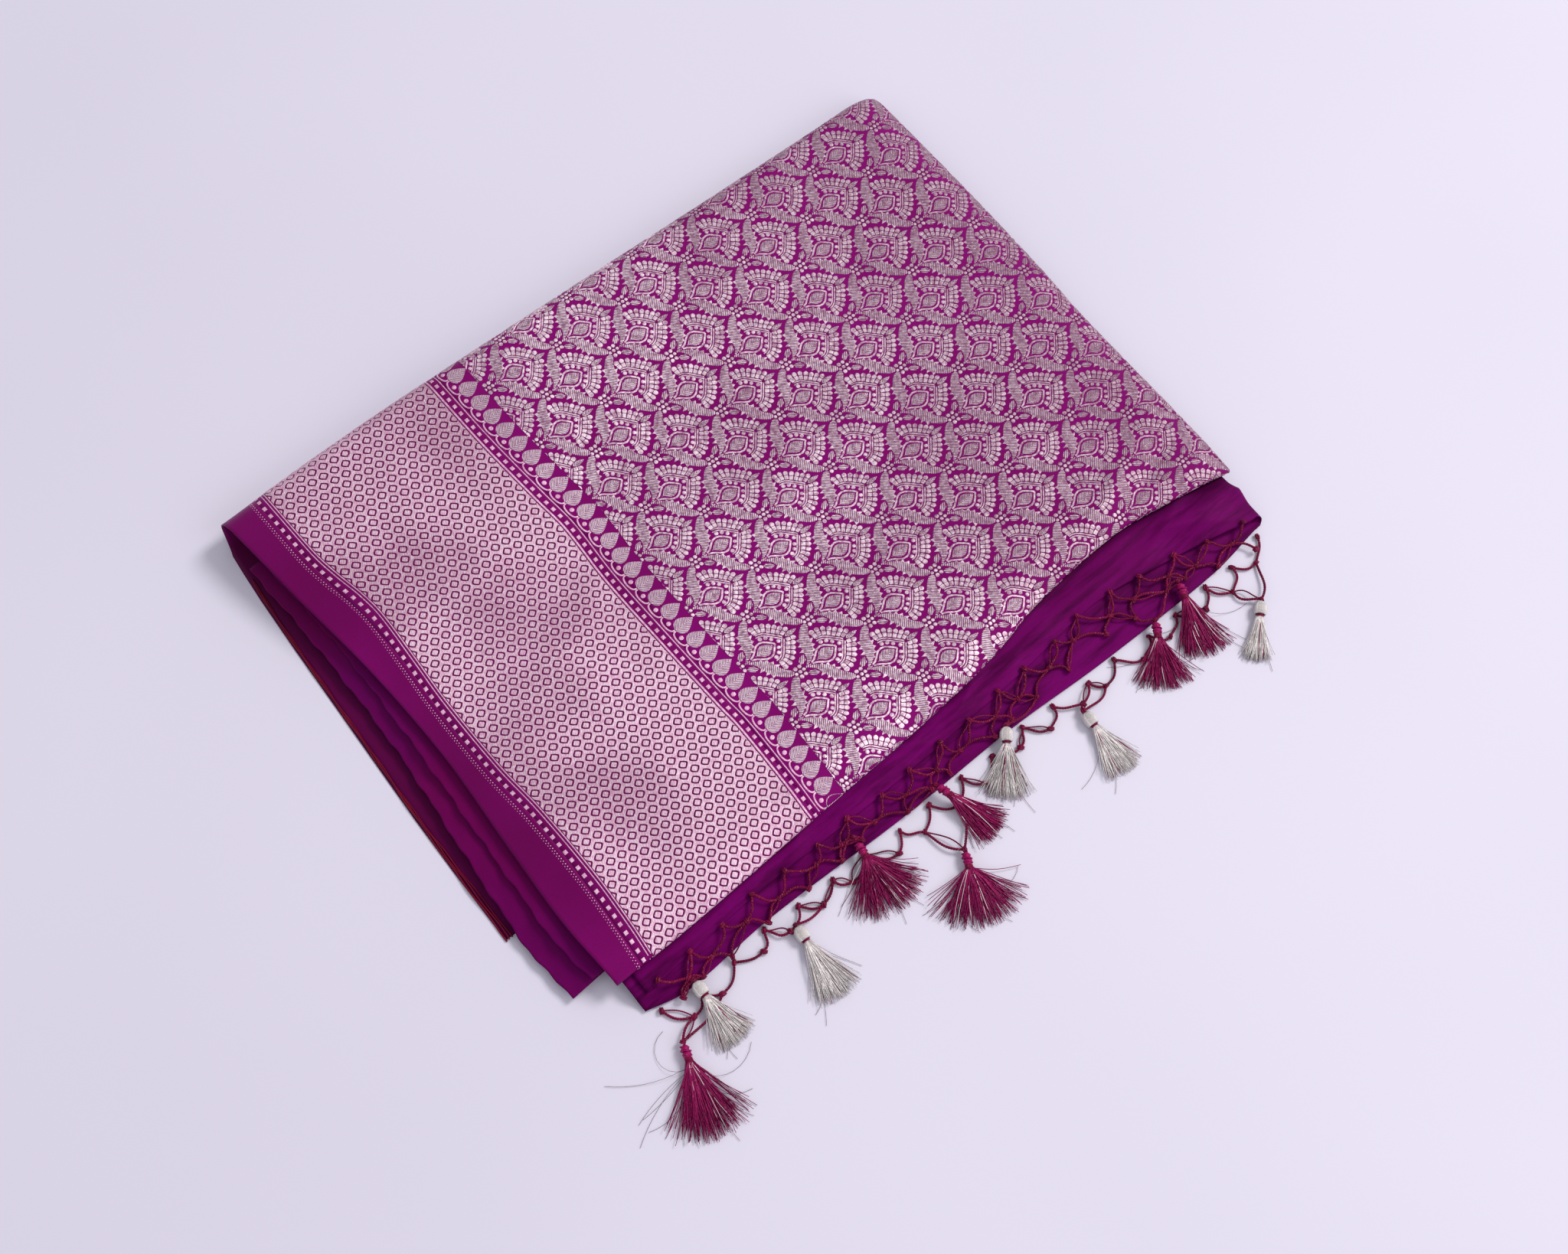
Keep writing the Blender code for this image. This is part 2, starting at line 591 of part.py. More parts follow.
def net_graph(net, hem_line, roots):
    """Knots and cords of a net that hangs from a hem and gathers at its tassels."""
    start, stop, rows = net["start"], net["stop"], net["rows"]
    count = int(round((stop - start) / NET_PITCH))
    knots, cords, index = [], [], {}
    for row in range(rows + 1):
        half = 0.5 * (row % 2)
        for column in range(count + 1 - row % 2):
            x = start + (column + half) * (stop - start) / count
            y = along(hem_line, x) - net["drop"] * row
            x += 2.2 * math.sin(3.1 * column + 1.7 * row)
            y += 1.3 * math.sin(2.3 * column + 2.9 * row + 0.6)
            if row > 0:
                nearest = min(roots, key=lambda root: math.hypot(root[0] - x, root[1] - y))
                distance = math.hypot(nearest[0] - x, nearest[1] - y)
                pull = NET_PULLS[row - 1] * math.exp(-(distance / 42.0) ** 2)
                x, y = mix(x, nearest[0], pull), mix(y, nearest[1], pull)
            index[(row, column)] = len(knots)
            knots.append((x, y))
            if row > 0:
                above = (column, column + 1) if row % 2 else (column - 1, column)
                for other in above:
                    if (row - 1, other) in index:
                        cords.append((index[(row - 1, other)], index[(row, column)]))
    last = [key for key in index if key[0] == rows]
    for root in roots:

        def way_back(key):
            dx, dy = knots[index[key]][0] - root[0], knots[index[key]][1] - root[1]
            ahead = dx * math.cos(root[2]) + dy * math.sin(root[2])
            return math.hypot(dx, dy) + 3.0 * max(ahead + 3.0, 0.0)

        near = sorted(last, key=way_back)
        place = len(knots)
        knots.append(root[:2])
        for key in near[:2]:
            cords.append((index[key], place))
    return knots, cords


def net_outline(knots, cords, half_width, steps):
    """Plan of a net of flat cords: its vertices and faces."""
    around = {i: [] for i in range(len(knots))}
    for a, b in cords:
        around[a].append(b)
        around[b].append(a)
    vertices, faces, corner = [], [], {}

    def heading(i, j):
        return math.atan2(knots[j][1] - knots[i][1], knots[j][0] - knots[i][0])

    for i, others in around.items():
        others.sort(key=lambda j: heading(i, j))
        ring = []
        for position, j in enumerate(others):
            following = others[(position + 1) % len(others)]
            first, second = heading(i, j), heading(i, following)
            gap = (second - first) % (2 * math.pi)
            if len(others) == 1:
                for side in (1, -1):
                    turn = first + side * math.pi / 2
                    x = knots[i][0] + half_width * (math.cos(turn) - 0.6 * math.cos(first))
                    y = knots[i][1] + half_width * (math.sin(turn) - 0.6 * math.sin(first))
                    corner[(i, j, side)] = len(vertices)
                    ring.append(len(vertices))
                    vertices.append((x, y))
                continue
            reach = min(half_width / max(math.sin(gap / 2), 0.22), 4.0 * half_width)
            turn = first + gap / 2
            corner[(i, j, 1)] = len(vertices)
            corner[(i, following, -1)] = len(vertices)
            ring.append(len(vertices))
            vertices.append((knots[i][0] + reach * math.cos(turn), knots[i][1] + reach * math.sin(turn)))
        if len(ring) > 2:
            faces.append(tuple(ring))
    for a, b in cords:
        left = [corner[(a, b, 1)]]
        right = [corner[(a, b, -1)]]
        end_left, end_right = corner[(b, a, -1)], corner[(b, a, 1)]
        for step in range(1, steps):
            share = step / steps
            for track, end in ((left, end_left), (right, end_right)):
                ax, ay = vertices[track[0]]
                bx, by = vertices[end]
                track.append(len(vertices))
                vertices.append((mix(ax, bx, share), mix(ay, by, share)))
        left.append(end_left)
        right.append(end_right)
        for step in range(steps):
            faces.append((right[step], right[step + 1], left[step + 1], left[step]))
    return vertices, faces


def net_solid(name, knots, cords, steps, lies_on, material, parent):
    """A net of six-sided cords from its plan. lies_on gives the height that it lies on."""
    wide, faces = net_outline(knots, cords, NET_CORD_HALF_WIDTH, steps)
    slim, _ = net_outline(knots, cords, NET_CORD_HALF_WIDTH * SLIM_SHARE, steps)
    count = len(wide)
    points = []
    heights = []
    for x, y in wide:
        heights.append(lies_on(x, y) + CLEARANCE + NET_CORD_HALF_HEIGHT)
    for (x, y), z in zip(slim, heights):
        points.append((x, y, z + NET_CORD_HALF_HEIGHT))
    for (x, y), z in zip(wide, heights):
        points.append((x, y, z))
    for (x, y), z in zip(slim, heights):
        points.append((x, y, z - NET_CORD_HALF_HEIGHT))
    solid = []
    used = {}
    for face in faces:
        solid.append(tuple(face))
        solid.append(tuple(2 * count + i for i in reversed(face)))
        for start, stop in zip(face, face[1:] + face[:1]):
            used[(start, stop)] = True
    for start, stop in used:
        if (stop, start) not in used:
            solid.append((stop, start, count + start, count + stop))
            solid.append((count + stop, count + start, 2 * count + start, 2 * count + stop))
    make_object(name, points, solid, material, parent)
    return wide


def raised_to_roots(height, x, y, tassels):
    """A height that rises to the tassels' knots close to them."""
    for spec in tassels:
        knot_x, knot_y, _ = knot_of(spec)
        share = ease(1.0 - math.hypot(knot_x - x, knot_y - y) / ROOT_RISE_REACH)
        goal = spec["z"] - CLEARANCE - NET_CORD_HALF_HEIGHT
        height = max(height, mix(height, goal, share))
    return height


def knot_of(spec):
    """Knot of the net that a tassel hangs from, just behind its head, and the way it points."""
    turn = math.radians(spec["heading"])
    x = spec["x"] - ROOT_GAP * math.cos(turn)
    return x, spec["y"] - ROOT_GAP * math.sin(turn), turn


def head_start(spec, outline, knots, cords):
    """How far in front of its place a tassel's head starts, just clear of the cords beside it."""
    knot_x, knot_y, turn = knot_of(spec)
    marks = [(x, y, 0.0) for x, y in outline]
    for a, b in cords:
        for step in range(13):
            share = step / 12
            x, y = mix(knots[a][0], knots[b][0], share), mix(knots[a][1], knots[b][1], share)
            marks.append((x, y, NET_CORD_HALF_WIDTH))
    start = 0.0
    blocked = True
    while blocked and start < 12.0:
        start += 0.1
        blocked = False
        for x, y, radius in marks:
            forward = (x - knot_x) * math.cos(turn) + (y - knot_y) * math.sin(turn) - start
            aside = (y - knot_y) * math.cos(turn) - (x - knot_x) * math.sin(turn)
            for out, reach in HEAD_DISCS:
                if math.hypot(forward - out, aside) < reach + radius + CLEARANCE:
                    blocked = True
    return start - ROOT_GAP


def fringe(parent):
    """Both nets, each on its own layer's hem, and the tassels that hang from them."""
    upper = [spec for spec in TASSELS if spec["net"] == "upper"]
    lower = [spec for spec in TASSELS if spec["net"] == "lower"]

    def on_cloth(x, y):
        lowest = max(cloth_around(x, y, NET_REACH), UPPER_NET_LOWEST - NET_CORD_HALF_HEIGHT)
        return raised_to_roots(lowest, x, y, upper)

    def on_table(x, y):
        return raised_to_roots(0.0, x, y, lower)

    outside = tuple((x, y - OUTSIDE_HEM) for x, y in LOWER_HEM_LINE)
    for name, net, hem_line, specs, lies_on in (
        ("net_upper", UPPER_NET, UPPER_HEM_LINE, upper, on_cloth),
        ("net_lower", LOWER_NET, outside, lower, on_table),
    ):
        knots, cords = net_graph(net, hem_line, [knot_of(spec) for spec in specs])
        outline = net_solid(name, knots, cords, net["steps"], lies_on, "maroon_cord", parent)
        for spec in specs:
            tassel(spec, head_start(spec, outline, knots, cords), parent)


# Tassels

def tassel(spec, start, parent):
    """A knotted head with a comb of flat locks that spread from its neck.

    start is how far along its heading from its place in the table the head begins.
    """
    turn = math.radians(spec["heading"])
    forward = Vector((math.cos(turn), math.sin(turn), 0.0))
    aside = Vector((-math.sin(turn), math.cos(turn), 0.0))
    up = Vector((0.0, 0.0, 1.0))
    root = Vector((spec["x"], spec["y"], spec["z"])) + forward * start
    columns, rows = LOCK_COLUMNS, LOCK_ROWS

    def section(out, half_wide, half_high, z, round_share):
        """A grid of points across the tassel, from a rectangle to an ellipse."""
        centre = root + forward * out
        centre.z = z
        grid = []
        for r in range(rows + 1):
            line = []
            for c in range(columns + 1):
                u, v = 2 * c / columns - 1, 2 * r / rows - 1
                size = max(abs(u), abs(v))
                length = math.hypot(u, v)
                shrink = mix(1.0, size / length if length > 0 else 1.0, round_share)
                line.append(centre + aside * u * half_wide * shrink + up * v * half_high * shrink)
            grid.append(line)
        return grid

    head = TASSEL_HEAD_RADIUS
    neck_height = mix(min(spec["z"], NECK_HEIGHT), spec["z"] * 0.9, 0.6)
    neck_out = TASSEL_HEAD_LENGTH + 3.0
    sections = (
        section(0.0, head * 0.2, head * 0.3, spec["z"], 1.0),
        section(1.6, head * 0.95, head * 0.9, spec["z"], 1.0),
        section(TASSEL_HEAD_LENGTH * 0.6, head, head * 0.92, spec["z"] * 0.96 + 0.1, 1.0),
        section(TASSEL_HEAD_LENGTH * 0.88, head * 0.55, head * 0.5, spec["z"] * 0.93, 1.0),
        section(neck_out, head * 1.15, head * 0.52, neck_height, 0.15),
    )
    rim = [(0, c) for c in range(columns)] + [(r, columns) for r in range(rows)]
    rim += [(rows, c) for c in range(columns, 0, -1)] + [(r, 0) for r in range(rows, 0, -1)]
    points, faces = [], []
    for grid in sections:
        for r, c in rim:
            points.append(tuple(grid[r][c]))
    count = len(rim)
    faces.append(tuple(range(count)))
    for level in range(len(sections) - 1):
        for i in range(count):
            k = (i + 1) % count
            near, far = level * count, (level + 1) * count
            faces.append((near + i, far + i, far + k, near + k))
    end = sections[-1]
    end_index = {}
    for position, (r, c) in enumerate(rim):
        end_index[(r, c)] = (len(sections) - 1) * count + position
    for r in range(1, rows):
        for c in range(1, columns):
            end_index[(r, c)] = len(points)
            points.append(tuple(end[r][c]))
    reach = spec["length"] - neck_out
    spread = math.radians(spec["spread"])
    for r in range(rows):
        for c in range(columns):
            cell = [(r, c), (r, c + 1), (r + 1, c + 1), (r + 1, c)]
            corners = [end[i][j] for i, j in cell]
            middle = sum(corners, Vector()) / 4
            ring = []
            for corner in corners:
                ring.append(len(points))
                points.append(tuple(middle + (corner - middle) * LOCK_SPACING))
            for k in range(4):
                n = (k + 1) % 4
                faces.append((end_index[cell[k]], end_index[cell[n]], ring[n], ring[k]))
            offset = (c + 0.5) / columns - 0.5
            fan = turn + spread * offset
            along_lock = Vector((math.cos(fan), math.sin(fan), 0.0))
            beside = Vector((-math.sin(fan), math.cos(fan), 0.0))
            uneven = 1.0 - 0.10 * abs(math.sin(2.7 * c + 1.9 * r + spec["x"]))
            floor = LOWEST_LOCK_HEIGHT + LOCK_RISE * r + 0.25 * abs(math.sin(4.1 * c + spec["y"]))
            for step, share in enumerate((0.5, 1.0)):
                place = middle + along_lock * reach * share * uneven
                sink = ease(share * 1.15)
                clear = cloth_around(place.x, place.y, 3.0)
                if spec["net"] == "upper":
                    clear = max(clear, lower_net_under(place.x, place.y))
                if clear > 0.0:
                    clear += CLEARANCE + LOCK_HALF_HEIGHT + LOCK_RISE * r + 0.3
                place.z = max(mix(middle.z, floor, sink), clear)
                width = LOCK_HALF_WIDTH * LOCK_TAPER[step]
                high = LOCK_HALF_HEIGHT * LOCK_TAPER[step]
                fresh = []
                for side, rise in ((-1, -1), (1, -1), (1, 1), (-1, 1)):
                    fresh.append(len(points))
                    points.append(tuple(place + beside * side * width + up * rise * high))
                for k in range(4):
                    n = (k + 1) % 4
                    faces.append((ring[k], ring[n], fresh[n], fresh[k]))
                ring = fresh
            faces.append(tuple(ring))
    material = "silver_thread" if spec["tone"] == "silver" else "maroon_cord"
    make_object(spec["name"], points, faces, material, parent)


def build():
    for old in list(bpy.data.objects):
        bpy.data.objects.remove(old, do_unlink=True)
    saree = bpy.data.objects.new("saree", None)
    bpy.context.scene.collection.objects.link(saree)
    outermost_fold(saree)
    hidden_layers(saree)
    inner_layer("middle_layer", MIDDLE_EDGE_LINE, MIDDLE_LAYER, saree)
    inner_layer("second_layer", SECOND_EDGE_LINE, SECOND_LAYER, saree)
    end_piece(saree)
    fringe(saree)


build()
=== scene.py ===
"""The looks of a folded brocade saree: cloth, woven silver pattern, knotted nets and tassels.

Plan sizes are in millimetres, in the same plan as the solids: X across the cloth's width from
the open selvedges (-X), Y along its length from the plain end piece (-Y), Z up.
"""
import math

import bpy
import numpy as np
from mathutils import Matrix, Vector


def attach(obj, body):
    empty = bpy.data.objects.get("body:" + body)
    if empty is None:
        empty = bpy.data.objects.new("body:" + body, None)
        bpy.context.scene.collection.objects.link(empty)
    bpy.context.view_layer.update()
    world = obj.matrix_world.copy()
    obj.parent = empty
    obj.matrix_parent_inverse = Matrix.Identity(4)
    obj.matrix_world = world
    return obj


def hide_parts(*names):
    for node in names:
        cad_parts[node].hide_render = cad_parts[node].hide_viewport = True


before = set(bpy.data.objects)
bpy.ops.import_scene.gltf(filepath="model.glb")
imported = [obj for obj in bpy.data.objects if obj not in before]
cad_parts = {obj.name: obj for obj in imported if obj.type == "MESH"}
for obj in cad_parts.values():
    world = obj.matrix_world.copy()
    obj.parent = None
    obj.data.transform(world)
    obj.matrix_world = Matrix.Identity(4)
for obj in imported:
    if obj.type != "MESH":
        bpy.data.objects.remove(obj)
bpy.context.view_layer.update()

MM = 0.001
CENTRE = (1.85, -5.15)


# Cloth and stack, as in the solids
WALL = 1.2
CLEARANCE = 0.35
STACK_MID = 21.0
BACK_RISE = 10.0
APEX_FALL = 5.0
NEAR_CORNER_RISE = 1.5
SELVEDGE_DROOP = 3.5
RISE_TO_BACK = (70.0, 180.0)  # plan place where an eased rise starts, and how far it takes
RISE_TO_RIGHT = (40.0, 220.0)
NEAR_CORNER_FADE = (-60.0, 120.0)
DROOP_FROM_LEFT = (238.0, 36.0)
DROOP_BACK_FADE = (150.0, 90.0)
DROOP_FRONT_FADE = (95.0, 45.0)
FRONT_DROP = 4.2
FRONT_DROP_REACH = 22.0
WIDTH_FOLD_END_HEIGHT = 12.0
WIDTH_FOLD_REACH = 30.0
BACK_FOLD_DEPTH = 15.0
NOSE = 2.2
NOSE_RETURN = 13.0
APEX_CUT = 3.0
BACK_MIRROR = 538.0  # twice the plan y of the back fold, with half the cloth that goes round it
CLOTH = 0.45

SELVEDGE_LINE = ((270, -279), (190, -272), (110, -264), (30, -262), (-50, -267), (-110, -270),
                 (-162, -268))
BORDER_OUTER_LINE = ((270, -253), (190, -249), (110, -243), (30, -246), (-60, -242), (-162, -248))
BORDER_INNER_LINE = ((270, -100), (100, -93), (-50, -95), (-162, -103))
WIDTH_FOLD_LINE = ((255, 308), (145, 303), (60, 297), (0, 291), (-118, 284), (-162, 280))
LOWEST_EDGE_LINE = ((262, -284), (190, -291), (77, -297), (-20, -302), (-95, -304))
SECOND_EDGE_LINE = ((245, -284), (150, -281), (60, -283), (-40, -292), (-110, -297), (-150, -293))
MIDDLE_EDGE_LINE = ((245, -275), (150, -270), (60, -272), (-50, -278), (-120, -281), (-152, -276))
MIDDLE_LAYER = {"tuck": 12.6, "height": 12.2, "droop": 0.9, "ripple": 0.5,
                "front": -147.5, "back": 238.0, "flat": 0.021}
SECOND_LAYER = {"tuck": 6.4, "height": 8.85, "droop": 3.0, "ripple": 0.9,
                "front": -148.0, "back": 236.0, "flat": 0.022}
FRONT_EDGE_LINE = ((-270, -162), (-200, -162), (-100, -159), (0, -156), (60, -151), (110, -142),
                   (186, -139), (230, -146), (276, -155))
BACK_FOLD_LINE = ((-282, 271), (-170, 272), (-50, 268), (94, 262), (200, 259), (308, 256))
LOWEST_FRONT_LINE = ((-304, -89), (-288, -93), (-262, -138), (-240, -148), (308, -148))
UPPER_HEM_LINE = ((-256, -176), (-160, -172), (-60, -174), (60, -171), (140, -166), (200, -175),
                  (240, -184), (266, -191))
LOWER_HEM_LINE = ((-264, -183), (-236, -190), (-167, -188), (-60, -193), (40, -194), (120, -199),
                  (220, -201), (266, -196))
END_PIECE_TUCK = 13.0
END_PIECE_ROOT_HEIGHT = 9.2
END_PIECE_LEFT_LOWER = -264.0
END_PIECE_LEFT_UPPER = -256.0
END_PIECE_RIGHT_ROOT = 273.0
END_PIECE_RIGHT_HEM = 271.0
LAYER_STEP = 1.75

# Creases of the top: place, turn in degrees, reach along and across, depth
CREASES = (
    (-200, 170, 78, 80, 16, 1.3), (-165, 40, 98, 95, 20, -0.9), (-205, -90, 84, 70, 15, 0.9),
    (-40, 120, 12, 90, 24, 0.9), (90, 20, 150, 110, 26, 1.0), (190, 150, 64, 85, 18, 0.9),
    (20, -70, 20, 80, 18, -0.8), (222, -128, 22, 42, 7, 1.6), (206, -113, 24, 44, 7, -1.5),
)

# Rings round the hidden layers: height, share of the way from there up to the top cloth, and how
# far in from the selvedge line, front edge, width fold and back fold
CORE_RINGS = ((1.6, 0.0, 6.0, 10.0, 8.0, 17.0), (2.4, 0.0, 2.0, 6.0, 3.2, 13.0),
              (3.6, 0.0, 1.6, 5.0, 1.6, 9.5), (4.6, 0.0, 3.0, 5.6, 3.4, 7.5),
              (5.8, 0.0, 1.6, 4.6, 1.8, 5.6), (7.25, 0.0, 2.0, 5.0, 3.2, 4.4),
              (7.3, 0.0, 7.0, 5.0, 3.0, 4.3), (8.2, 0.0, 7.6, 5.2, 1.8, 3.8),
              (8.25, 0.0, 7.6, 23.0, 2.4, 3.7), (10.0, 0.0, 7.0, 23.0, 6.0, 3.4),
              (10.6, 0.0, 7.6, 23.0, 19.0, 3.4), (10.65, 0.0, 13.5, 23.0, 21.0, 3.4),
              (10.65, 0.35, 14.5, 24.0, 24.0, 4.6), (10.65, 0.70, 14.0, 26.0, 27.0, 8.0),
              (10.65, 0.92, 15.0, 28.0, 30.0, 12.5), (10.65, 1.0, 18.0, 31.0, 34.0, 18.0))
CORE_CORNER = 0.035
CORE_SLACK = 1.5
CORE_TOP_RISE = 11.0  # from the last ring's height to the top of the stack
CORE_LEVEL_STEP = 0.26
CORE_LAYER_RISE = 1.28

# Tassels from the far right corner to the near left one; x, y and z are where the head begins
TASSEL_KEYS = ("name", "tone", "net", "x", "y", "z", "heading", "length", "spread")
TASSEL_ROWS = (("silver", "lower", 228, -238, 4.5, -141, 40, 22),
               ("maroon", "upper", 194, -193, 8.6, -111, 49, 34),
               ("maroon", "upper", 162, -203, 7.6, -126, 43, 46),
               ("silver", "lower", 82, -219, 4.5, -97, 45, 32),
               ("silver", "upper", 34, -193, 8.4, -132, 45, 38),
               ("maroon", "upper", -27, -194, 8.4, -76, 45, 28),
               ("maroon", "upper", -92, -186, 9.0, -99, 47, 64),
               ("maroon", "lower", -43, -238, 4.5, -118, 46, 70),
               ("silver", "lower", -157, -205, 4.5, -97, 49, 30),
               ("silver", "upper", -229, -191, 7.6, -92, 43, 34),
               ("maroon", "lower", -259, -216, 4.5, -110, 55, 40))
TASSELS = [dict(zip(TASSEL_KEYS, (f"tassel_{number:02d}", *row)))
           for number, row in enumerate(TASSEL_ROWS, 1)]
TASSEL_HEAD_LENGTH = 10.0
HEAD_DISCS = ((4.0, 4.0), (6.1, 3.9), (12.5, 4.6))
NET_PITCH = 27.0
NET_CORD_HALF_WIDTH = 1.35
NET_CORD_HALF_HEIGHT = 1.1
UPPER_NET = {"start": -246.0, "stop": 258.0, "rows": 2, "drop": 9.5}
LOWER_NET = {"start": -256.0, "stop": 262.0, "rows": 1, "drop": 10.0}
NET_PULLS = (0.16, 0.42)
UPPER_NET_LOWEST = 4.1
NET_REACH = 4.2
ROOT_GAP = 2.6
ROOT_RISE_REACH = 17.0
OUTSIDE_HEM = 4.6


# Small maths, for single numbers and for arrays alike

def ease(share):
    share = np.clip(share, 0.0, 1.0)
    return share * share * (3.0 - 2.0 * share)


def mix(low, high, share):
    return low + (high - low) * share


def ramp(at, start, reach):
    """An eased rise from 0 at a start to 1 at the end of its reach."""
    return ease((at - start) / reach)


def along(line, at):
    """Value of a line of (place, value) rows at places, on a smooth curve through the rows."""
    rows = np.array(sorted(line), dtype=float)
    place, value = rows[:, 0], rows[:, 1]
    index = np.arange(len(rows))
    low, high = np.maximum(index - 1, 0), np.minimum(index + 1, len(rows) - 1)
    slope = (value[high] - value[low]) / (place[high] - place[low])
    at = np.clip(at, place[0], place[-1])
    i = np.clip(np.searchsorted(place, at, side="left") - 1, 0, len(rows) - 2)
    span = place[i + 1] - place[i]
    t = (at - place[i]) / span
    return (
        (2 * t ** 3 - 3 * t ** 2 + 1) * value[i]
        + (t ** 3 - 2 * t ** 2 + t) * span * slope[i]
        + (-2 * t ** 3 + 3 * t ** 2) * value[i + 1]
        + (t ** 3 - t ** 2) * span * slope[i + 1]
    )


def unit(rows):
    """Rows of a list of vectors, each made one long."""
    return rows / np.maximum(np.linalg.norm(rows, axis=1, keepdims=True), 1e-9)


def lengths(path):
    """How far along a path each of its points is."""
    return np.concatenate([[0.0], np.cumsum(np.linalg.norm(np.diff(path, axis=0), axis=1))])


def crease_depth(x, y):
    depth = 0.0
    for crease_x, crease_y, degrees, reach, width, deepest in CREASES:
        turn = math.radians(degrees)
        dx, dy = x - crease_x, y - crease_y
        onward = dx * math.cos(turn) + dy * math.sin(turn)
        across = -dx * math.sin(turn) + dy * math.cos(turn)
        depth = depth + deepest * np.exp(-((onward / reach) ** 2 + (across / width) ** 2))
    return depth


def stack_height(x, y):
    back = ramp(y, *RISE_TO_BACK)
    right = ramp(x, *RISE_TO_RIGHT)
    height = STACK_MID + BACK_RISE * back - APEX_FALL * back * right
    height = height + NEAR_CORNER_RISE * right * (1.0 - ramp(y, *NEAR_CORNER_FADE))
    droop = ramp(-x, *DROOP_FROM_LEFT) * (1.0 - 0.75 * ramp(y, *DROOP_BACK_FADE))
    return height - SELVEDGE_DROOP * droop * (1.0 - ramp(-y, *DROOP_FRONT_FADE))


def top_height(x, y):
    from_front = ease((y - along(FRONT_EDGE_LINE, x)) / FRONT_DROP_REACH)
    creased = crease_depth(x, y) * mix(0.3, 1.0, from_front)
    return stack_height(x, y) - creased - FRONT_DROP * (1.0 - from_front)


def ellipse_angle(arc, across, down, last):
    """Angle from the top of an ellipse at which an arc length is reached, and the whole arc."""
    steps = 32
    arc = np.asarray(arc, dtype=float)
    step = last / steps
    gone = np.zeros_like(arc)
    angle = np.zeros_like(arc)
    for k in range(steps):
        middle = (k + 0.5) * step
        piece = np.sqrt((across * math.cos(middle)) ** 2 + (down * math.sin(middle)) ** 2) * step
        share = np.clip((arc - gone) / piece, 0.0, 1.0)
        angle = angle + share * step
        gone = gone + piece
    return angle, gone


# The outermost fold: a place in the flat cloth to a point on the folded cloth

def seen_from_above(y):
    """Plan y at which to read the edge lines for cloth that may lie beyond the back fold."""
    return np.clip(np.minimum(y, BACK_MIRROR - y), -165.0, 258.0)


def width_fold(y):
    """Where the width fold starts across the cloth, and how far down it goes."""
    y_line = seen_from_above(y)
    start = along(WIDTH_FOLD_LINE, y_line) - WIDTH_FOLD_REACH
    return start, np.maximum(top_height(start + 12.0, y_line) - WIDTH_FOLD_END_HEIGHT, 1.0)


def fold_core(x, y, lean=0.0):
    """Points of the outermost fold's outer face.

    x and y are plan places on the top, carried on as lengths of cloth round the folds.
    lean moves the cloth sideways as it goes round the back fold.
    """
    x, y = np.broadcast_arrays(np.asarray(x, float), np.asarray(y, float))
    start, drop = width_fold(y)
    turn, _ = ellipse_angle(np.maximum(x - start, 0.0), WIDTH_FOLD_REACH, drop, math.pi / 2)
    px = np.where(x > start, start + WIDTH_FOLD_REACH * np.sin(turn), x)
    end_drop = 1.0 - np.cos(turn)
    front = along(FRONT_EDGE_LINE, px)
    stop = along(BACK_FOLD_LINE, px) - APEX_CUT * end_drop - BACK_FOLD_DEPTH
    top_y = np.clip(y, front + NOSE, stop)
    full = top_height(px, top_y)
    high = mix(full, np.minimum(full, WIDTH_FOLD_END_HEIGHT), end_drop)
    half = high / 2.0
    round_back, length = ellipse_angle(np.maximum(y - stop, 0.0), BACK_FOLD_DEPTH, half, math.pi)
    back = y > stop
    py = np.where(back, stop + BACK_FOLD_DEPTH * np.sin(round_back), top_y)
    pz = np.where(back, half + half * np.cos(round_back), high)
    under = np.maximum(y - stop - length, 0.0)
    py = np.where(under > 0.0, stop - under, py)
    pz = np.where(under > 0.0, 0.0, pz)
    before = np.maximum(front + NOSE - y, 0.0)
    round_nose = np.minimum(before / NOSE, math.pi)
    lip = np.maximum(before - NOSE * math.pi, 0.0)
    nose = before > 0.0
    py = np.where(nose, front + NOSE - NOSE * np.sin(round_nose) + lip, py)
    pz = np.where(nose, high - NOSE + NOSE * np.cos(round_nose), pz)
    px = px + lean * round_back / math.pi
    return np.stack([px, py, pz], axis=-1)


def fold(x, y, lift):
    """Points at a height over the outermost fold's face."""
    near = 0.6
    aside = fold_core(x + near, y) - fold_core(x - near, y)
    onward = fold_core(x, y + near) - fold_core(x, y - near)
    normal = np.cross(aside, onward)
    size = np.linalg.norm(normal, axis=-1, keepdims=True)
    return fold_core(x, y) + normal / np.maximum(size, 1e-9) * lift[..., None]


def fold_reach(y):
    """How far the cloth goes across before it ends low on the width fold."""
    start, drop = width_fold(y)
    _, length = ellipse_angle(np.zeros_like(drop), WIDTH_FOLD_REACH, drop, math.pi / 2)
    return start + length


# Materials

# Scales of the noises, per metre
SILK_TONE, SILK_SLUB, SILK_CREASE_SHADE, SILK_WEAVE = 9.0, 260.0, 1.6, 700.0
ZARI_GRAIN, ZARI_PATCH, ZARI_BROAD_SHADE, ZARI_PAINTED_GLINT = 1500.0, 330.0, 11.0, 620.0
THREAD_GRAIN = 900.0
SLUB_STRETCH = (1.0, 14.0, 1.0)
# The next three rows set where painted shade falls: crease lines, near the floor, beside the root.
CREASE_SHADE_STRETCH, CREASE_SHADE_TURN = (9.0, 70.0, 1.0), 0.22
FLOOR_SHADE_SPAN = (0.002, 0.009)
ROOT_SHADOW_SPAN = (0.25, 0.43)
SATIN_SHEEN, SATIN_SPECULAR = (1.0, 0.16, 0.75), (0.85, 0.10, 0.62, 1.0)
# Painted glints: their colour and most share.
PAINTED_GLINT_TONE, PAINTED_GLINT_SHARE = (1.0, 0.90, 0.95), 0.55
WEFT_PER_RIB = 2.3
RELIEF = 0.0003
THREAD_RELIEF = 0.0002

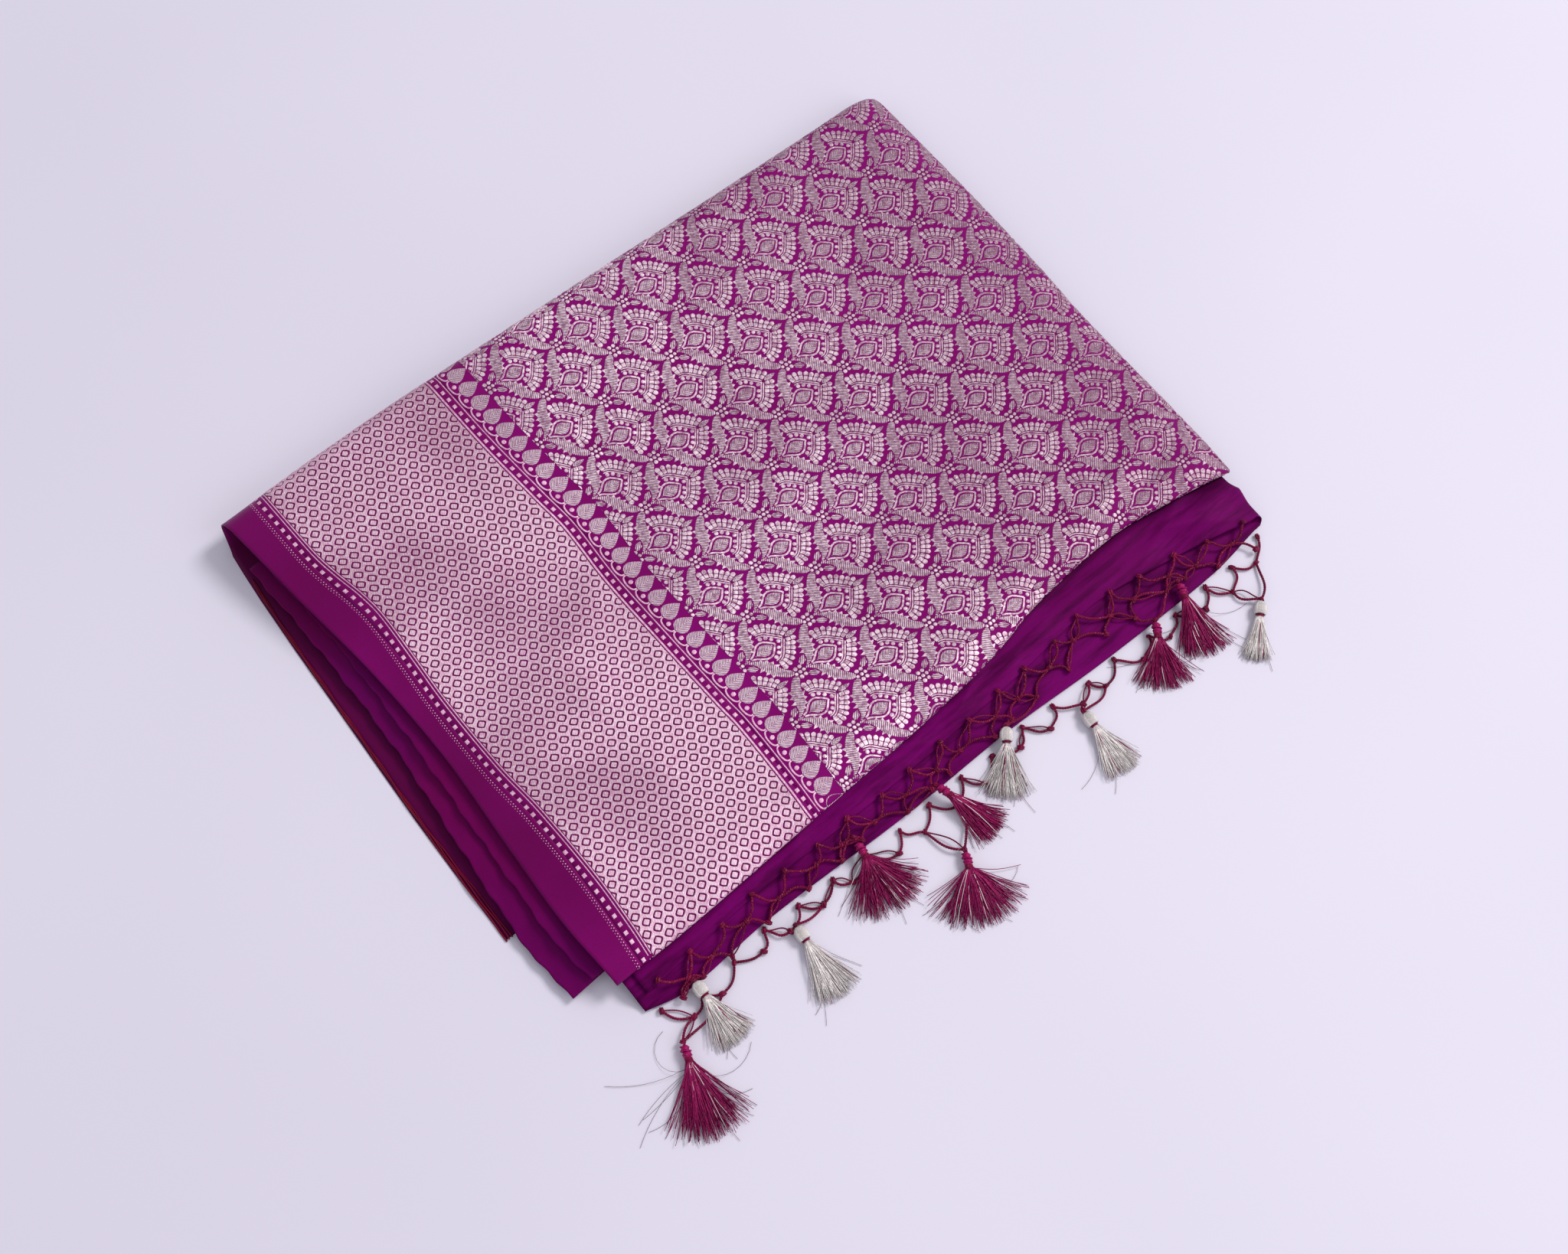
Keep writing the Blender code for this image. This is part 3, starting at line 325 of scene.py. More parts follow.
def node(tree, kind, **values):
    made = tree.nodes.new(kind)
    for key, value in values.items():
        setattr(made, key, value)
    return made


def math_node(tree, operation, a, b=None):
    made = node(tree, "ShaderNodeMath", operation=operation)
    for slot_index, value in enumerate((a, b)):
        if value is None:
            continue
        if isinstance(value, (int, float)):
            made.inputs[slot_index].default_value = value
        else:
            tree.links.new(value, made.inputs[slot_index])
    return made.outputs[0]


def mix_colour(tree, share, low, high):
    made = node(tree, "ShaderNodeMix", data_type="RGBA")
    for socket, value in ((made.inputs[0], share), (made.inputs[6], low), (made.inputs[7], high)):
        if isinstance(value, tuple):
            socket.default_value = (*value, 1.0)
        else:
            tree.links.new(value, socket)
    return made.outputs[2]


def remap(tree, value, low, high):
    made = node(tree, "ShaderNodeMapRange", clamp=True)
    made.inputs[1].default_value = low
    made.inputs[2].default_value = high
    tree.links.new(value, made.inputs[0])
    return made.outputs[0]


def noise(tree, vector, scale, detail=2.0, roughness=0.5):
    made = node(tree, "ShaderNodeTexNoise")
    made.inputs["Scale"].default_value = scale
    made.inputs["Detail"].default_value = detail
    made.inputs["Roughness"].default_value = roughness
    tree.links.new(vector, made.inputs["Vector"])
    return made.outputs[0]


def start_material(name, roughness, metallic=0.0, sheen=0.0, sheen_tint=(1, 1, 1), specular=0.5):
    material = bpy.data.materials.new(name)
    material.use_nodes = True
    tree = material.node_tree
    shader = tree.nodes["Principled BSDF"]
    shader.inputs["Roughness"].default_value = roughness
    shader.inputs["Metallic"].default_value = metallic
    shader.inputs["Sheen Weight"].default_value = sheen
    shader.inputs["Sheen Roughness"].default_value = 0.35
    shader.inputs["Sheen Tint"].default_value = (*sheen_tint, 1.0)
    shader.inputs["Specular IOR Level"].default_value = specular
    coordinates = tree.nodes.new("ShaderNodeTexCoord")
    return material, tree, shader, coordinates


def bump(tree, shader, height, strength, distance):
    made = node(tree, "ShaderNodeBump")
    made.inputs["Strength"].default_value = strength
    made.inputs["Distance"].default_value = distance
    tree.links.new(height, made.inputs["Height"])
    tree.links.new(made.outputs[0], shader.inputs["Normal"])


def tinted(tree, tone, other, mask, most):
    """A tone mixed towards another where a mask is high, by a given share at most."""
    return mix_colour(tree, math_node(tree, "MULTIPLY", mask, most), tone, other)


def stretched(tree, place, scale, turn=0.0):
    """Places stretched, so that a noise read there runs in lines."""
    made = node(tree, "ShaderNodeMapping")
    made.inputs["Scale"].default_value = scale
    made.inputs["Rotation"].default_value = (0.0, 0.0, turn)
    tree.links.new(place, made.inputs["Vector"])
    return made.outputs[0]


def coordinate(tree, place, axis):
    made = node(tree, "ShaderNodeSeparateXYZ")
    tree.links.new(place, made.inputs[0])
    return made.outputs[axis]


def silk(name, colour, second, dark, roughness=0.40, sheen=0.05, specular=0.35, painted_floor_shade=0.0,
         painted_crease_and_root_shade=0.0):
    """Plain satin: broad colour change between warp and weft, slubs, and a fine weave.

    One option darkens what lies near the floor: painted shade where the stack shades the cloth.
    Another darkens lines that run along the hem, painted shade of creases, and the part beside
    the root, a painted contact shadow, which the first map coordinate tells.
    """
    material, tree, shader, coordinates = start_material(
        name, roughness, sheen=sheen, sheen_tint=SATIN_SHEEN, specular=specular)
    shader.inputs["Specular Tint"].default_value = SATIN_SPECULAR
    place = coordinates.outputs["Object"]
    broad = remap(tree, noise(tree, place, SILK_TONE, 3.0), 0.35, 0.65)
    tone = mix_colour(tree, broad, colour, second)
    slub = noise(tree, stretched(tree, place, SLUB_STRETCH), SILK_SLUB, 2.0, 0.6)
    tone = tinted(tree, tone, dark, remap(tree, slub, 0.52, 0.78), 0.35)
    # Painted shade: darker near the floor, where the stack shades the lowest cloth.
    if painted_floor_shade:
        raised = remap(tree, coordinate(tree, place, 2), *FLOOR_SHADE_SPAN)
        tone = tinted(tree, tone, dark, math_node(tree, "SUBTRACT", 1.0, raised), painted_floor_shade)
    # Painted shade of creases: darker lines along the hem.
    if painted_crease_and_root_shade:
        along_hem = stretched(tree, place, CREASE_SHADE_STRETCH, CREASE_SHADE_TURN)
        crease_shade_lines = remap(tree, noise(tree, along_hem, SILK_CREASE_SHADE, 4.0, 0.62), 0.44, 0.66)
        tone = tinted(tree, tone, dark, crease_shade_lines, painted_crease_and_root_shade)
        # Painted contact shadow: darker beside the root, under the top cloth's front edge.
        from_root = remap(tree, map_parts(tree)[0], *ROOT_SHADOW_SPAN)
        tone = tinted(tree, tone, dark, math_node(tree, "SUBTRACT", 1.0, from_root), painted_crease_and_root_shade)
    tree.links.new(tone, shader.inputs["Base Color"])
    weave = node(tree, "ShaderNodeTexWave", wave_type="BANDS", bands_direction="DIAGONAL")
    weave.inputs["Scale"].default_value = SILK_WEAVE
    weave.inputs["Distortion"].default_value = 0.6
    tree.links.new(place, weave.inputs["Vector"])
    height = math_node(tree, "ADD", weave.outputs[1], math_node(tree, "MULTIPLY", slub, 1.4))
    bump(tree, shader, height, 0.22, RELIEF)
    return material


def map_parts(tree):
    """The two thread coordinates that each point of a piece carries."""
    weave_map = node(tree, "ShaderNodeUVMap", uv_map="weave")
    parts = node(tree, "ShaderNodeSeparateXYZ")
    tree.links.new(weave_map.outputs[0], parts.inputs[0])
    return parts.outputs[0], parts.outputs[1]


def zari(name, light, tint, shade, gap, rib_strength=1.0, broad_shade_share=0.3, grain_share=0.6,
         painted_far_shade=None):
    """Silver thread floats: ribs along U of the map, with painted glints, broad painted shade,
    and dark gaps between ribs.

    One option darkens the cloth along an axis, painted shade where it catches less light:
    (axis, start, stop, amount), in metres.
    """
    material, tree, shader, coordinates = start_material(name, 0.46, metallic=0.3)
    place = coordinates.outputs["Object"]
    across, onward = map_parts(tree)
    wave = math_node(tree, "SINE", math_node(tree, "MULTIPLY", across, 2.0 * math.pi))
    rib = remap(tree, wave, -0.65, 0.30)
    thread = math_node(tree, "MULTIPLY", onward, 2.0 * math.pi * WEFT_PER_RIB)
    thread = math_node(tree, "SINE", thread)
    grain = noise(tree, place, ZARI_GRAIN, 2.0, 0.7)
    patch = remap(tree, noise(tree, place, ZARI_PATCH, 1.0), 0.38, 0.66)
    tone = mix_colour(tree, patch, light, tint)
    tone = tinted(tree, tone, shade, remap(tree, grain, 0.5, 0.72), grain_share)
    # Painted shade: broad soft patches that stand for soft creases and uneven sheen on the silver.
    band = remap(tree, noise(tree, place, ZARI_BROAD_SHADE), 0.46, 0.64)
    tone = tinted(tree, tone, shade, band, broad_shade_share)
    # Painted shade: darker along an axis, where the cloth catches less light.
    if painted_far_shade:
        axis, start, stop, amount = painted_far_shade
        far = remap(tree, coordinate(tree, place, axis), start, stop)
        tone = tinted(tree, tone, shade, far, amount)
    # Painted glints: bright specks that stand for highlights on the metal thread.
    painted_glint = remap(tree, noise(tree, place, ZARI_PAINTED_GLINT, 2.0, 0.6), 0.56, 0.70)
    tone = tinted(tree, tone, PAINTED_GLINT_TONE, painted_glint, PAINTED_GLINT_SHARE)
    tone = tinted(tree, tone, gap, math_node(tree, "SUBTRACT", 1.0, rib), rib_strength)
    tree.links.new(tone, shader.inputs["Base Color"])
    height = math_node(tree, "ADD", rib, math_node(tree, "MULTIPLY", thread, 0.12))
    height = math_node(tree, "ADD", height, math_node(tree, "MULTIPLY", grain, 0.5))
    bump(tree, shader, height, 0.55, RELIEF)
    return material


def thread_material(name, colour, second, glint, glint_share, roughness=0.4, metallic=0.0):
    """Fine threads that differ in tone from one to the next, with painted glints: highlights
    painted as bright specks.
    """
    material, tree, shader, coordinates = start_material(
        name, roughness, metallic=metallic, specular=0.3)
    shader.inputs["Specular Tint"].default_value = (*(min(1.0, 0.3 + 2.5 * c) for c in colour), 1.0)
    each = math_node(tree, "FRACT", math_node(tree, "MULTIPLY", map_parts(tree)[1], 7.31))
    grain = noise(tree, coordinates.outputs["Object"], THREAD_GRAIN, 2.0, 0.6)
    tone = mix_colour(tree, each, colour, second)
    # Painted glints: bright specks that stand for highlights on the threads.
    painted_glint = remap(tree, grain, 0.62 - 0.2 * glint_share, 0.74)
    tone = tinted(tree, tone, glint, painted_glint, glint_share)
    tree.links.new(tone, shader.inputs["Base Color"])
    bump(tree, shader, grain, 0.3, THREAD_RELIEF)
    return material


# The edge satin carries painted shade near the floor.
EDGE_SILK = silk("purple_edge_satin", (0.175, 0.0022, 0.104), (0.130, 0.0018, 0.072),
                 (0.055, 0.001, 0.022), painted_floor_shade=0.75)
# A darker copy of the purple satin: painted shade for the inner layers, which lie in the stack's
# shade.
PAINTED_SHADE_PURPLE = silk("purple_shaded_inner_satin", (0.118, 0.0015, 0.080), (0.132, 0.0016, 0.068),
                    (0.045, 0.001, 0.026), specular=0.2)
# The end satin carries painted crease shade and a painted contact shadow beside its root.
END_SILK = silk("purple_end_satin", (0.158, 0.0017, 0.112), (0.118, 0.0014, 0.076),
                (0.028, 0.0005, 0.016), roughness=0.50, sheen=0.0, specular=0.12, painted_crease_and_root_shade=0.75)
GROUND = silk("magenta_ground", (0.215, 0.0030, 0.138), (0.175, 0.0026, 0.106),
              (0.09, 0.0015, 0.05), roughness=0.5, specular=0.2)
BORDER_GROUND = silk("border_ground", (0.190, 0.0035, 0.118), (0.155, 0.0030, 0.092),
                     (0.08, 0.0015, 0.045), roughness=0.5, specular=0.2)
RING_GROUND = silk("ring_ground", (0.105, 0.0060, 0.062), (0.135, 0.0070, 0.082),
                   (0.050, 0.003, 0.028), roughness=0.6, specular=0.15)
# A darker ground under the fan and rosette: painted shade in the narrow gaps between the raised
# shapes.
SHADOW_GROUND = silk("gap_shade_ground", (0.150, 0.006, 0.095), (0.125, 0.005, 0.078),
                     (0.06, 0.004, 0.036), roughness=0.6, specular=0.2)
# The field silver darkens towards the width fold: painted shade.
FIELD_ZARI = zari("field_silver", (0.98, 0.78, 0.86), (0.45, 0.25, 0.35), (0.20, 0.068, 0.132),
                  (0.130, 0.018, 0.084), painted_far_shade=(0, 0.02, 0.34, 0.74))
LEAF_ZARI = zari("leaf_silver", (0.98, 0.74, 0.86), (0.72, 0.47, 0.60), (0.25, 0.13, 0.18),
                 (0.125, 0.020, 0.080))
# The border silver darkens towards the back and in broad patches: painted shade.
BORDER_ZARI = zari("border_silver", (1.0, 0.72, 0.85), (0.88, 0.50, 0.67), (0.28, 0.11, 0.18),
                   (0.18, 0.05, 0.11), rib_strength=0.3, broad_shade_share=0.4, grain_share=0.4,
                   painted_far_shade=(1, 0.02, 0.30, 0.30))
LINE_ZARI = zari("line_silver", (0.88, 0.56, 0.72), (0.70, 0.32, 0.52), (0.38, 0.15, 0.26),
                 (0.24, 0.05, 0.15), rib_strength=0.3)
# The third colour of each thread material is a painted glint, a highlight painted as bright specks.
MAROON_CORD = thread_material("maroon_twist", (0.190, 0.004, 0.044), (0.105, 0.002, 0.026),
                              (0.90, 0.46, 0.48), 0.20)
MAROON_THREADS = thread_material("maroon_threads", (0.310, 0.005, 0.098), (0.150, 0.003, 0.050),
                                 (0.86, 0.45, 0.60), 0.18)
SILVER_THREADS = thread_material("silver_threads", (0.72, 0.67, 0.65), (0.50, 0.45, 0.44),
                                 (0.95, 0.92, 0.90), 0.6, roughness=0.32, metallic=0.10)
RED_EDGE = thread_material("red_edge_threads", (0.150, 0.004, 0.022), (0.085, 0.002, 0.022),
                           (0.42, 0.04, 0.06), 0.15)
DARK_THREADS = thread_material("dark_threads", (0.10, 0.006, 0.03), (0.05, 0.004, 0.015),
                               (0.2, 0.1, 0.1), 0.1)


# Meshes

def make(name, points, faces, material, coordinates=None, smooth=True, thickness=0.0):
    """One piece from plan points in millimetres, with a map coordinate for each point."""
    points = np.asarray(points, dtype=float).reshape(-1, 3)
    placed = (points - (CENTRE[0], CENTRE[1], 0.0)) * MM
    mesh = bpy.data.meshes.new(name)
    mesh.from_pydata(placed.tolist(), [], [tuple(int(i) for i in face) for face in faces])
    if coordinates is not None:
        layer = mesh.uv_layers.new(name="weave")
        loops = np.zeros(len(mesh.loops), dtype=np.int64)
        mesh.loops.foreach_get("vertex_index", loops)
        values = np.asarray(coordinates, dtype=np.float32).reshape(-1, 2)[loops]
        layer.data.foreach_set("uv", values.ravel())
    mesh.materials.append(material)
    if smooth:
        mesh.shade_smooth()
    mesh.validate()
    made = bpy.data.objects.new(name, mesh)
    bpy.context.scene.collection.objects.link(made)
    if thickness:
        wall = made.modifiers.new("cloth", "SOLIDIFY")
        wall.thickness = thickness * MM
        wall.offset = -1.0
    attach(made, "root")
    return made


def grid_faces(rows, columns, flip=False):
    """Faces between rows of points, or the same faces turned over."""
    faces = []
    for i in range(rows - 1):
        for j in range(columns - 1):
            a, b = i * columns + j, i * columns + j + 1
            c, d = (i + 1) * columns + j + 1, (i + 1) * columns + j
            faces.append((a, d, c, b) if flip else (a, b, c, d))
    return faces


def ring_faces(first, count):
    """Faces between a closed ring of points and the ring after it."""
    faces = []
    for i in range(count):
        k = (i + 1) % count
        faces.append((first + i, first + k, first + count + k, first + count + i))
    return faces


def shell(name, points, material, thickness=CLOTH, coordinates=None):
    """A thin cloth on a grid of points, mapped by its plan unless coordinates are given."""
    rows, columns = points.shape[:2]
    if coordinates is None:
        coordinates = points[..., :2] * 0.01
    return make(name, points, grid_faces(rows, columns), material, coordinates, thickness=thickness)


# The three lengths of cloth that make the outermost fold

FRONT_PLACE, BACK_PLACE = -155.0, 255.0  # plan y at which the lines are read for the two ends


def stations():
    """Places along the cloth: lip, nose, top, back fold, lowest layer."""
    lip = np.linspace(-NOSE * math.pi - NOSE_RETURN, -NOSE * math.pi, 4)[:-1]
    nose = np.linspace(-NOSE * math.pi, 0.0, 9)[:-1]
    top = np.linspace(0.0, 1.0, 122)
    turn = np.linspace(0.0, 1.0, 15)[1:]
    lowest = np.array((0.05, 0.12, 0.25, 0.4, 0.55, 0.7, 0.85, 1.0))
    return lip, nose, top, turn, lowest


def fold_grid(low_line, high_line, columns, lean_line=None):
    """Points of a length of cloth from its lip to its lowest layer, between two lines.

    Without a high line it reaches round the width fold. On the lowest layer, lean_line takes the
    place of the low line.
    """
    lip, nose, top, turn, lowest = stations()
    grid = []
    for share in np.linspace(0.0, 1.0, columns + 1):

        def line_x(y, share=share):
            seen = seen_from_above(y)
            high = along(high_line, seen) if high_line else fold_reach(y)
            return mix(along(low_line, seen), high, share)

        def lean(y_line, share=share):
            if lean_line is None:
                return 0.0
            return (along(lean_line, y_line) - along(low_line, y_line)) * (1.0 - share)

        px_front = fold_core(line_x(FRONT_PLACE), 0.0)[..., 0]
        first = float(along(FRONT_EDGE_LINE, px_front)) + NOSE
        x_back = line_x(BACK_PLACE)
        px_back = fold_core(x_back, 200.0)[..., 0]
        stop = along(BACK_FOLD_LINE, px_back) - BACK_FOLD_DEPTH
        end_high = fold_core(x_back, stop - 1.0)[..., 2]
        if not high_line:
            stop = stop - APEX_CUT * np.clip((x_back - px_back) / 6.0, 0.0, 1.0)
        stop = float(stop)
        turn_length = float(ellipse_angle(0.0, BACK_FOLD_DEPTH, end_high / 2.0, math.pi)[1])
        end = float(along(LOWEST_FRONT_LINE, px_front + lean(FRONT_PLACE)))
        y = np.concatenate([first + lip, first + nose, mix(first, stop, top),
                            stop + turn * turn_length, stop + turn_length + lowest * (stop - end)])
        grid.append(fold_core(line_x(y), y, lean(seen_from_above(y))))
    return np.stack(grid, axis=1)


selvedge = fold_grid(SELVEDGE_LINE, BORDER_OUTER_LINE, 10, lean_line=LOWEST_EDGE_LINE)
selvedge = shell("plain_selvedge", selvedge, EDGE_SILK)
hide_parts("selvedge_strip")
border = shell("border_cloth", fold_grid(BORDER_OUTER_LINE, BORDER_INNER_LINE, 40), BORDER_GROUND)
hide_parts("woven_border")
field = shell("field_cloth", fold_grid(BORDER_INNER_LINE, None, 112), GROUND)
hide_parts("brocade_field")


# Woven pattern: flat shapes in the cloth's own repeat, raised a little over the ground

REPEAT = (60.0, 55.0)
ACROSS = (38.756, 1.148, 0.220, 59.198, 0.057, 0.417)
LENGTHWISE = (-53.318, -53.68, 0.368, -1.285, 0.115, 0.483)
RAISED = 0.26
CROWN = 0.07
SUNK = -0.06
PATCH_LIFT = 0.09
RIB = 1.3


def woven(factors, w, l):
    """Plan x or y of a place in the pattern; the weave runs slightly off square."""
    return sum(c * t for c, t in zip(factors, (1.0, l, l * l, w, w * l, w * w)))


def on_cloth(u, v):
    w, l = u / REPEAT[0], v / REPEAT[1]
    return woven(ACROSS, w, l), woven(LENGTHWISE, w, l)


def lengthwise(v, x):
    """Flat y of a woven row at a place across the cloth."""
    return woven(LENGTHWISE, (x - ACROSS[0]) / ACROSS[3], v / REPEAT[1])


# Rib coordinates of a place in the pattern: across the ribs, and along them

def plain_rib(u, v):
    return 0.25, (u + 0.4 * v) / RIB


def diagonal_rib(u, v):
    return (u + v) / (RIB * math.sqrt(2.0)), (u - v) / (RIB * math.sqrt(2.0))


def falling_rib(u, v):
    return (u - v) / (RIB * math.sqrt(2.0)), (u + v) / (RIB * math.sqrt(2.0))


def chevron_rib(u, v):
    return (u - abs(v)) / (RIB * 1.05), (u + abs(v)) / RIB


class Islands:
    """Raised shapes of thread in pattern places: points (u, v, lift), faces and rib coordinates."""

    def __init__(self):
        self.points = []
        self.faces = []
        self.ribs = []

    def join(self, points, faces, ribs):
        first = len(self.points)
        self.points.extend(points)
        self.ribs.extend(ribs)
        self.faces.extend(tuple(first + i for i in face) for face in faces)

    def add(self, points, faces, rib):
        self.join(points, faces, [rib(u, v) for u, v, _ in points])

    def patch(self, left, right):
        """A flat ground between two edges, just over the cloth."""
        left, right = np.array(left, dtype=float), np.array(right, dtype=float)
        shares = (0.0, 0.5, 1.0)
        places = [(*(a + (b - a) * share), PATCH_LIFT)
                  for a, b in zip(left, right) for share in shares]
        self.add(places, grid_faces(len(left), len(shares)), plain_rib)

    def pillow(self, outline, inset=0.30, high=RAISED, rib=plain_rib):
        """A low cushion over an outline, which may run either way round."""
        outline = np.array(outline, dtype=float)
        ahead = np.roll(outline, -1, axis=0)
        if (outline[:, 0] * ahead[:, 1] - ahead[:, 0] * outline[:, 1]).sum() > 0:
            outline = outline[::-1]
        centre = outline.mean(axis=0)
        away = outline - centre
        size = np.linalg.norm(away, axis=1, keepdims=True)
        inner = centre + away * np.maximum(size - inset, 0.12) / size
        count = len(outline)
        places = [(*p, SUNK) for p in outline] + [(*p, high) for p in inner]
        places.append((*centre, high + CROWN))
        faces = []
        for i in range(count):
            k = (i + 1) % count
            faces.append((i, count + i, count + k, k))
            faces.append((count + i, 2 * count, count + k))
        self.add(places, faces, rib)

    def square(self, u, v, half_u, half_v, **options):
        self.pillow([(u - half_u, v - half_v), (u + half_u, v - half_v), (u + half_u, v + half_v),
                     (u - half_u, v + half_v)], **options)

    def disc(self, u, v, radius):
        turns = [2 * math.pi * (k + 0.5) / 8 for k in range(8)]
        outline = [(u + radius * math.cos(t), v - radius * math.sin(t)) for t in turns]
        self.pillow(outline, inset=0.5)

    def strip(self, left, right, inset=0.42, rib=diagonal_rib, centred=True):
        """A band between two edges, with rows of points matched across it."""
        left, right = np.array(left, dtype=float), np.array(right, dtype=float)
        span = right - left
        width = np.maximum(np.linalg.norm(span, axis=1, keepdims=True), 1e-6)
        share = np.minimum(inset / width, 0.4)
        lines = [(left, SUNK), (left + span * share, RAISED)]
        if centred:
            lines.append((left + span * 0.5, RAISED + CROWN))
        lines += [(right - span * share, RAISED), (right, SUNK)]
        last = len(left) - 1
        places = []
        for r in range(last + 1):
            for line, lift in lines:
                places.append((*line[r], lift if 0 < r < last else min(lift, 0.02)))
        self.add(places, grid_faces(last + 1, len(lines)), rib)

    def ribbon(self, middle, width, aside=0.0):
        """A band of even width along a line of places, or beside it."""
        middle = np.array(middle, dtype=float)
        ahead = unit(np.gradient(middle, axis=0))
        side = np.stack([-ahead[:, 1], ahead[:, 0]], axis=1)
        self.strip(middle + side * (aside + width / 2), middle + side * (aside - width / 2),
                   inset=0.3, rib=plain_rib, centred=False)

    def mirrored(self):
        """The same shapes on both sides of the motif's axis."""
        both = Islands()
        both.join(self.points, self.faces, self.ribs)
        both.join([(u, -v, lift) for u, v, lift in self.points],
                  [tuple(reversed(face)) for face in self.faces], self.ribs)
        return both


def curve(points, count):
    """A smooth line of places through a few."""
    points = np.array(points, dtype=float)
    steps = lengths(points)
    at = np.linspace(0.0, steps[-1], count)
    return np.stack([along(tuple(zip(steps, points[:, k])), at) for k in (0, 1)], axis=1)


# Shapes of one repeat, in millimetres from the middle of its rosette; most are half shapes
LEAF_LEFT = ((9.2, 1.7), (11.0, 3.6), (12.4, 5.8), (13.0, 8.4), (13.8, 11.0), (14.3, 13.6),
             (15.0, 16.2), (16.6, 18.9), (18.8, 21.5), (20.8, 23.6), (23.0, 25.6), (25.4, 26.9),
             (28.2, 27.0))
LEAF_RIGHT = ((10.8, 0.7), (14.0, 2.0), (17.2, 4.3), (20.0, 6.7), (22.0, 9.3), (23.3, 12.2),
              (24.2, 15.0), (25.1, 17.6), (26.2, 19.6), (27.4, 21.2), (28.6, 22.5), (29.2, 24.0),
              (29.5, 25.6))
LEAF_TEETH = (((13.9, 8.6), (10.9, 11.4), (14.7, 12.6)), ((14.8, 13.4), (12.8, 15.6), (15.6, 16.4)),
              ((15.8, 16.8), (15.2, 20.2), (18.0, 20.2)), ((15.8, 3.8), (17.9, 3.6), (18.4, 6.0)),
              ((18.8, 6.0), (21.5, 6.2), (21.2, 8.8)), ((21.0, 8.8), (23.9, 10.0), (23.0, 12.4)),
              ((22.6, 12.0), (26.0, 14.8), (24.0, 15.8)))
CORE_EDGE = ((16.9, 0.12), (18.8, 1.5), (20.8, 3.3), (22.8, 4.4), (24.8, 4.7), (26.8, 4.0),
             (29.0, 2.4), (31.4, 0.1))
FIRST_ARCH = ((12.8, 0.55), (15.6, 1.5), (18.6, 3.7), (21.3, 5.8), (24.0, 6.7), (27.3, 5.9),
              (30.3, 3.2), (33.3, 0.0))
SECOND_ARCH = ((25.9, 11.8), (29.2, 11.4), (32.2, 9.4), (35.5, 5.7), (38.2, 2.5), (40.3, 0.0))
BEADS = ((27.5, 8.8, 1.65), (31.0, 7.1, 1.6), (33.5, 4.0, 1.55))
FAN_INNER = ((25.4, 12.0), (27.5, 11.9), (30.0, 11.2), (32.4, 9.7), (34.2, 7.9), (35.9, 6.0),
             (37.3, 4.3), (38.6, 2.8), (39.8, 1.4), (41.0, 0.0))
FAN_OUTER = ((25.6, 18.8), (28.6, 19.0), (32.3, 17.9), (35.0, 16.2), (37.9, 13.9), (40.4, 11.4),
             (42.8, 8.5), (44.8, 5.9), (46.8, 3.2), (50.5, 0.0))
ROSETTE_EDGE = ((-2.3, 0.1), (-1.0, 3.4), (1.2, 5.0), (4.4, 4.8), (6.6, 3.2), (7.4, 0.9))
PETALS = (((27.5, 14.8), (27.4, 18.6)), ((30.8, 14.3), (31.6, 18.0)), ((33.6, 12.7), (35.4, 16.1)),
          ((36.0, 10.4), (38.6, 13.3)), ((38.2, 7.9), (41.2, 10.3)), ((40.3, 5.4), (43.6, 7.2)),
          ((42.4, 2.9), (46.1, 4.2)))


PETAL_BLOCK = ((-1.65, -1.30), (-1.65, 1.30), (0.6, 1.52), (1.7, 1.38), (1.7, -1.38), (0.6, -1.52))
PETAL_LOBE = ((-1.95, -1.40), (-1.95, 1.40), (-0.3, 1.80), (0.8, 1.50), (1.65, 0.4), (1.65, -0.4),
              (0.8, -1.50), (-0.3, -1.80))
STEM_EDGE = ((7.2, 0.6), (9.0, 1.1), (10.6, 0.8), (12.2, 0.1))
TIP_EDGE = ((41.6, 0.2), (43.8, 1.9), (46.6, 2.1), (49.2, 1.4), (51.9, 0.1))
BUD = ((5.7, 3.9), (8.2, 3.3), (11.3, 4.9), (12.6, 8.9), (9.2, 8.8), (6.4, 6.8))
AXIS_DISCS = ((2.4, 0.0, 1.6), (-0.8, 0.0, 1.5), (5.5, 0.0, 1.5), (36.4, 0.0, 1.6))
SIDE_DISCS = ((1.0, 3.5, 1.75), (4.4, 3.4, 1.65), *BEADS)
OTHER_SIDE = (1, -1)
TO_AXIS = (1, 0)


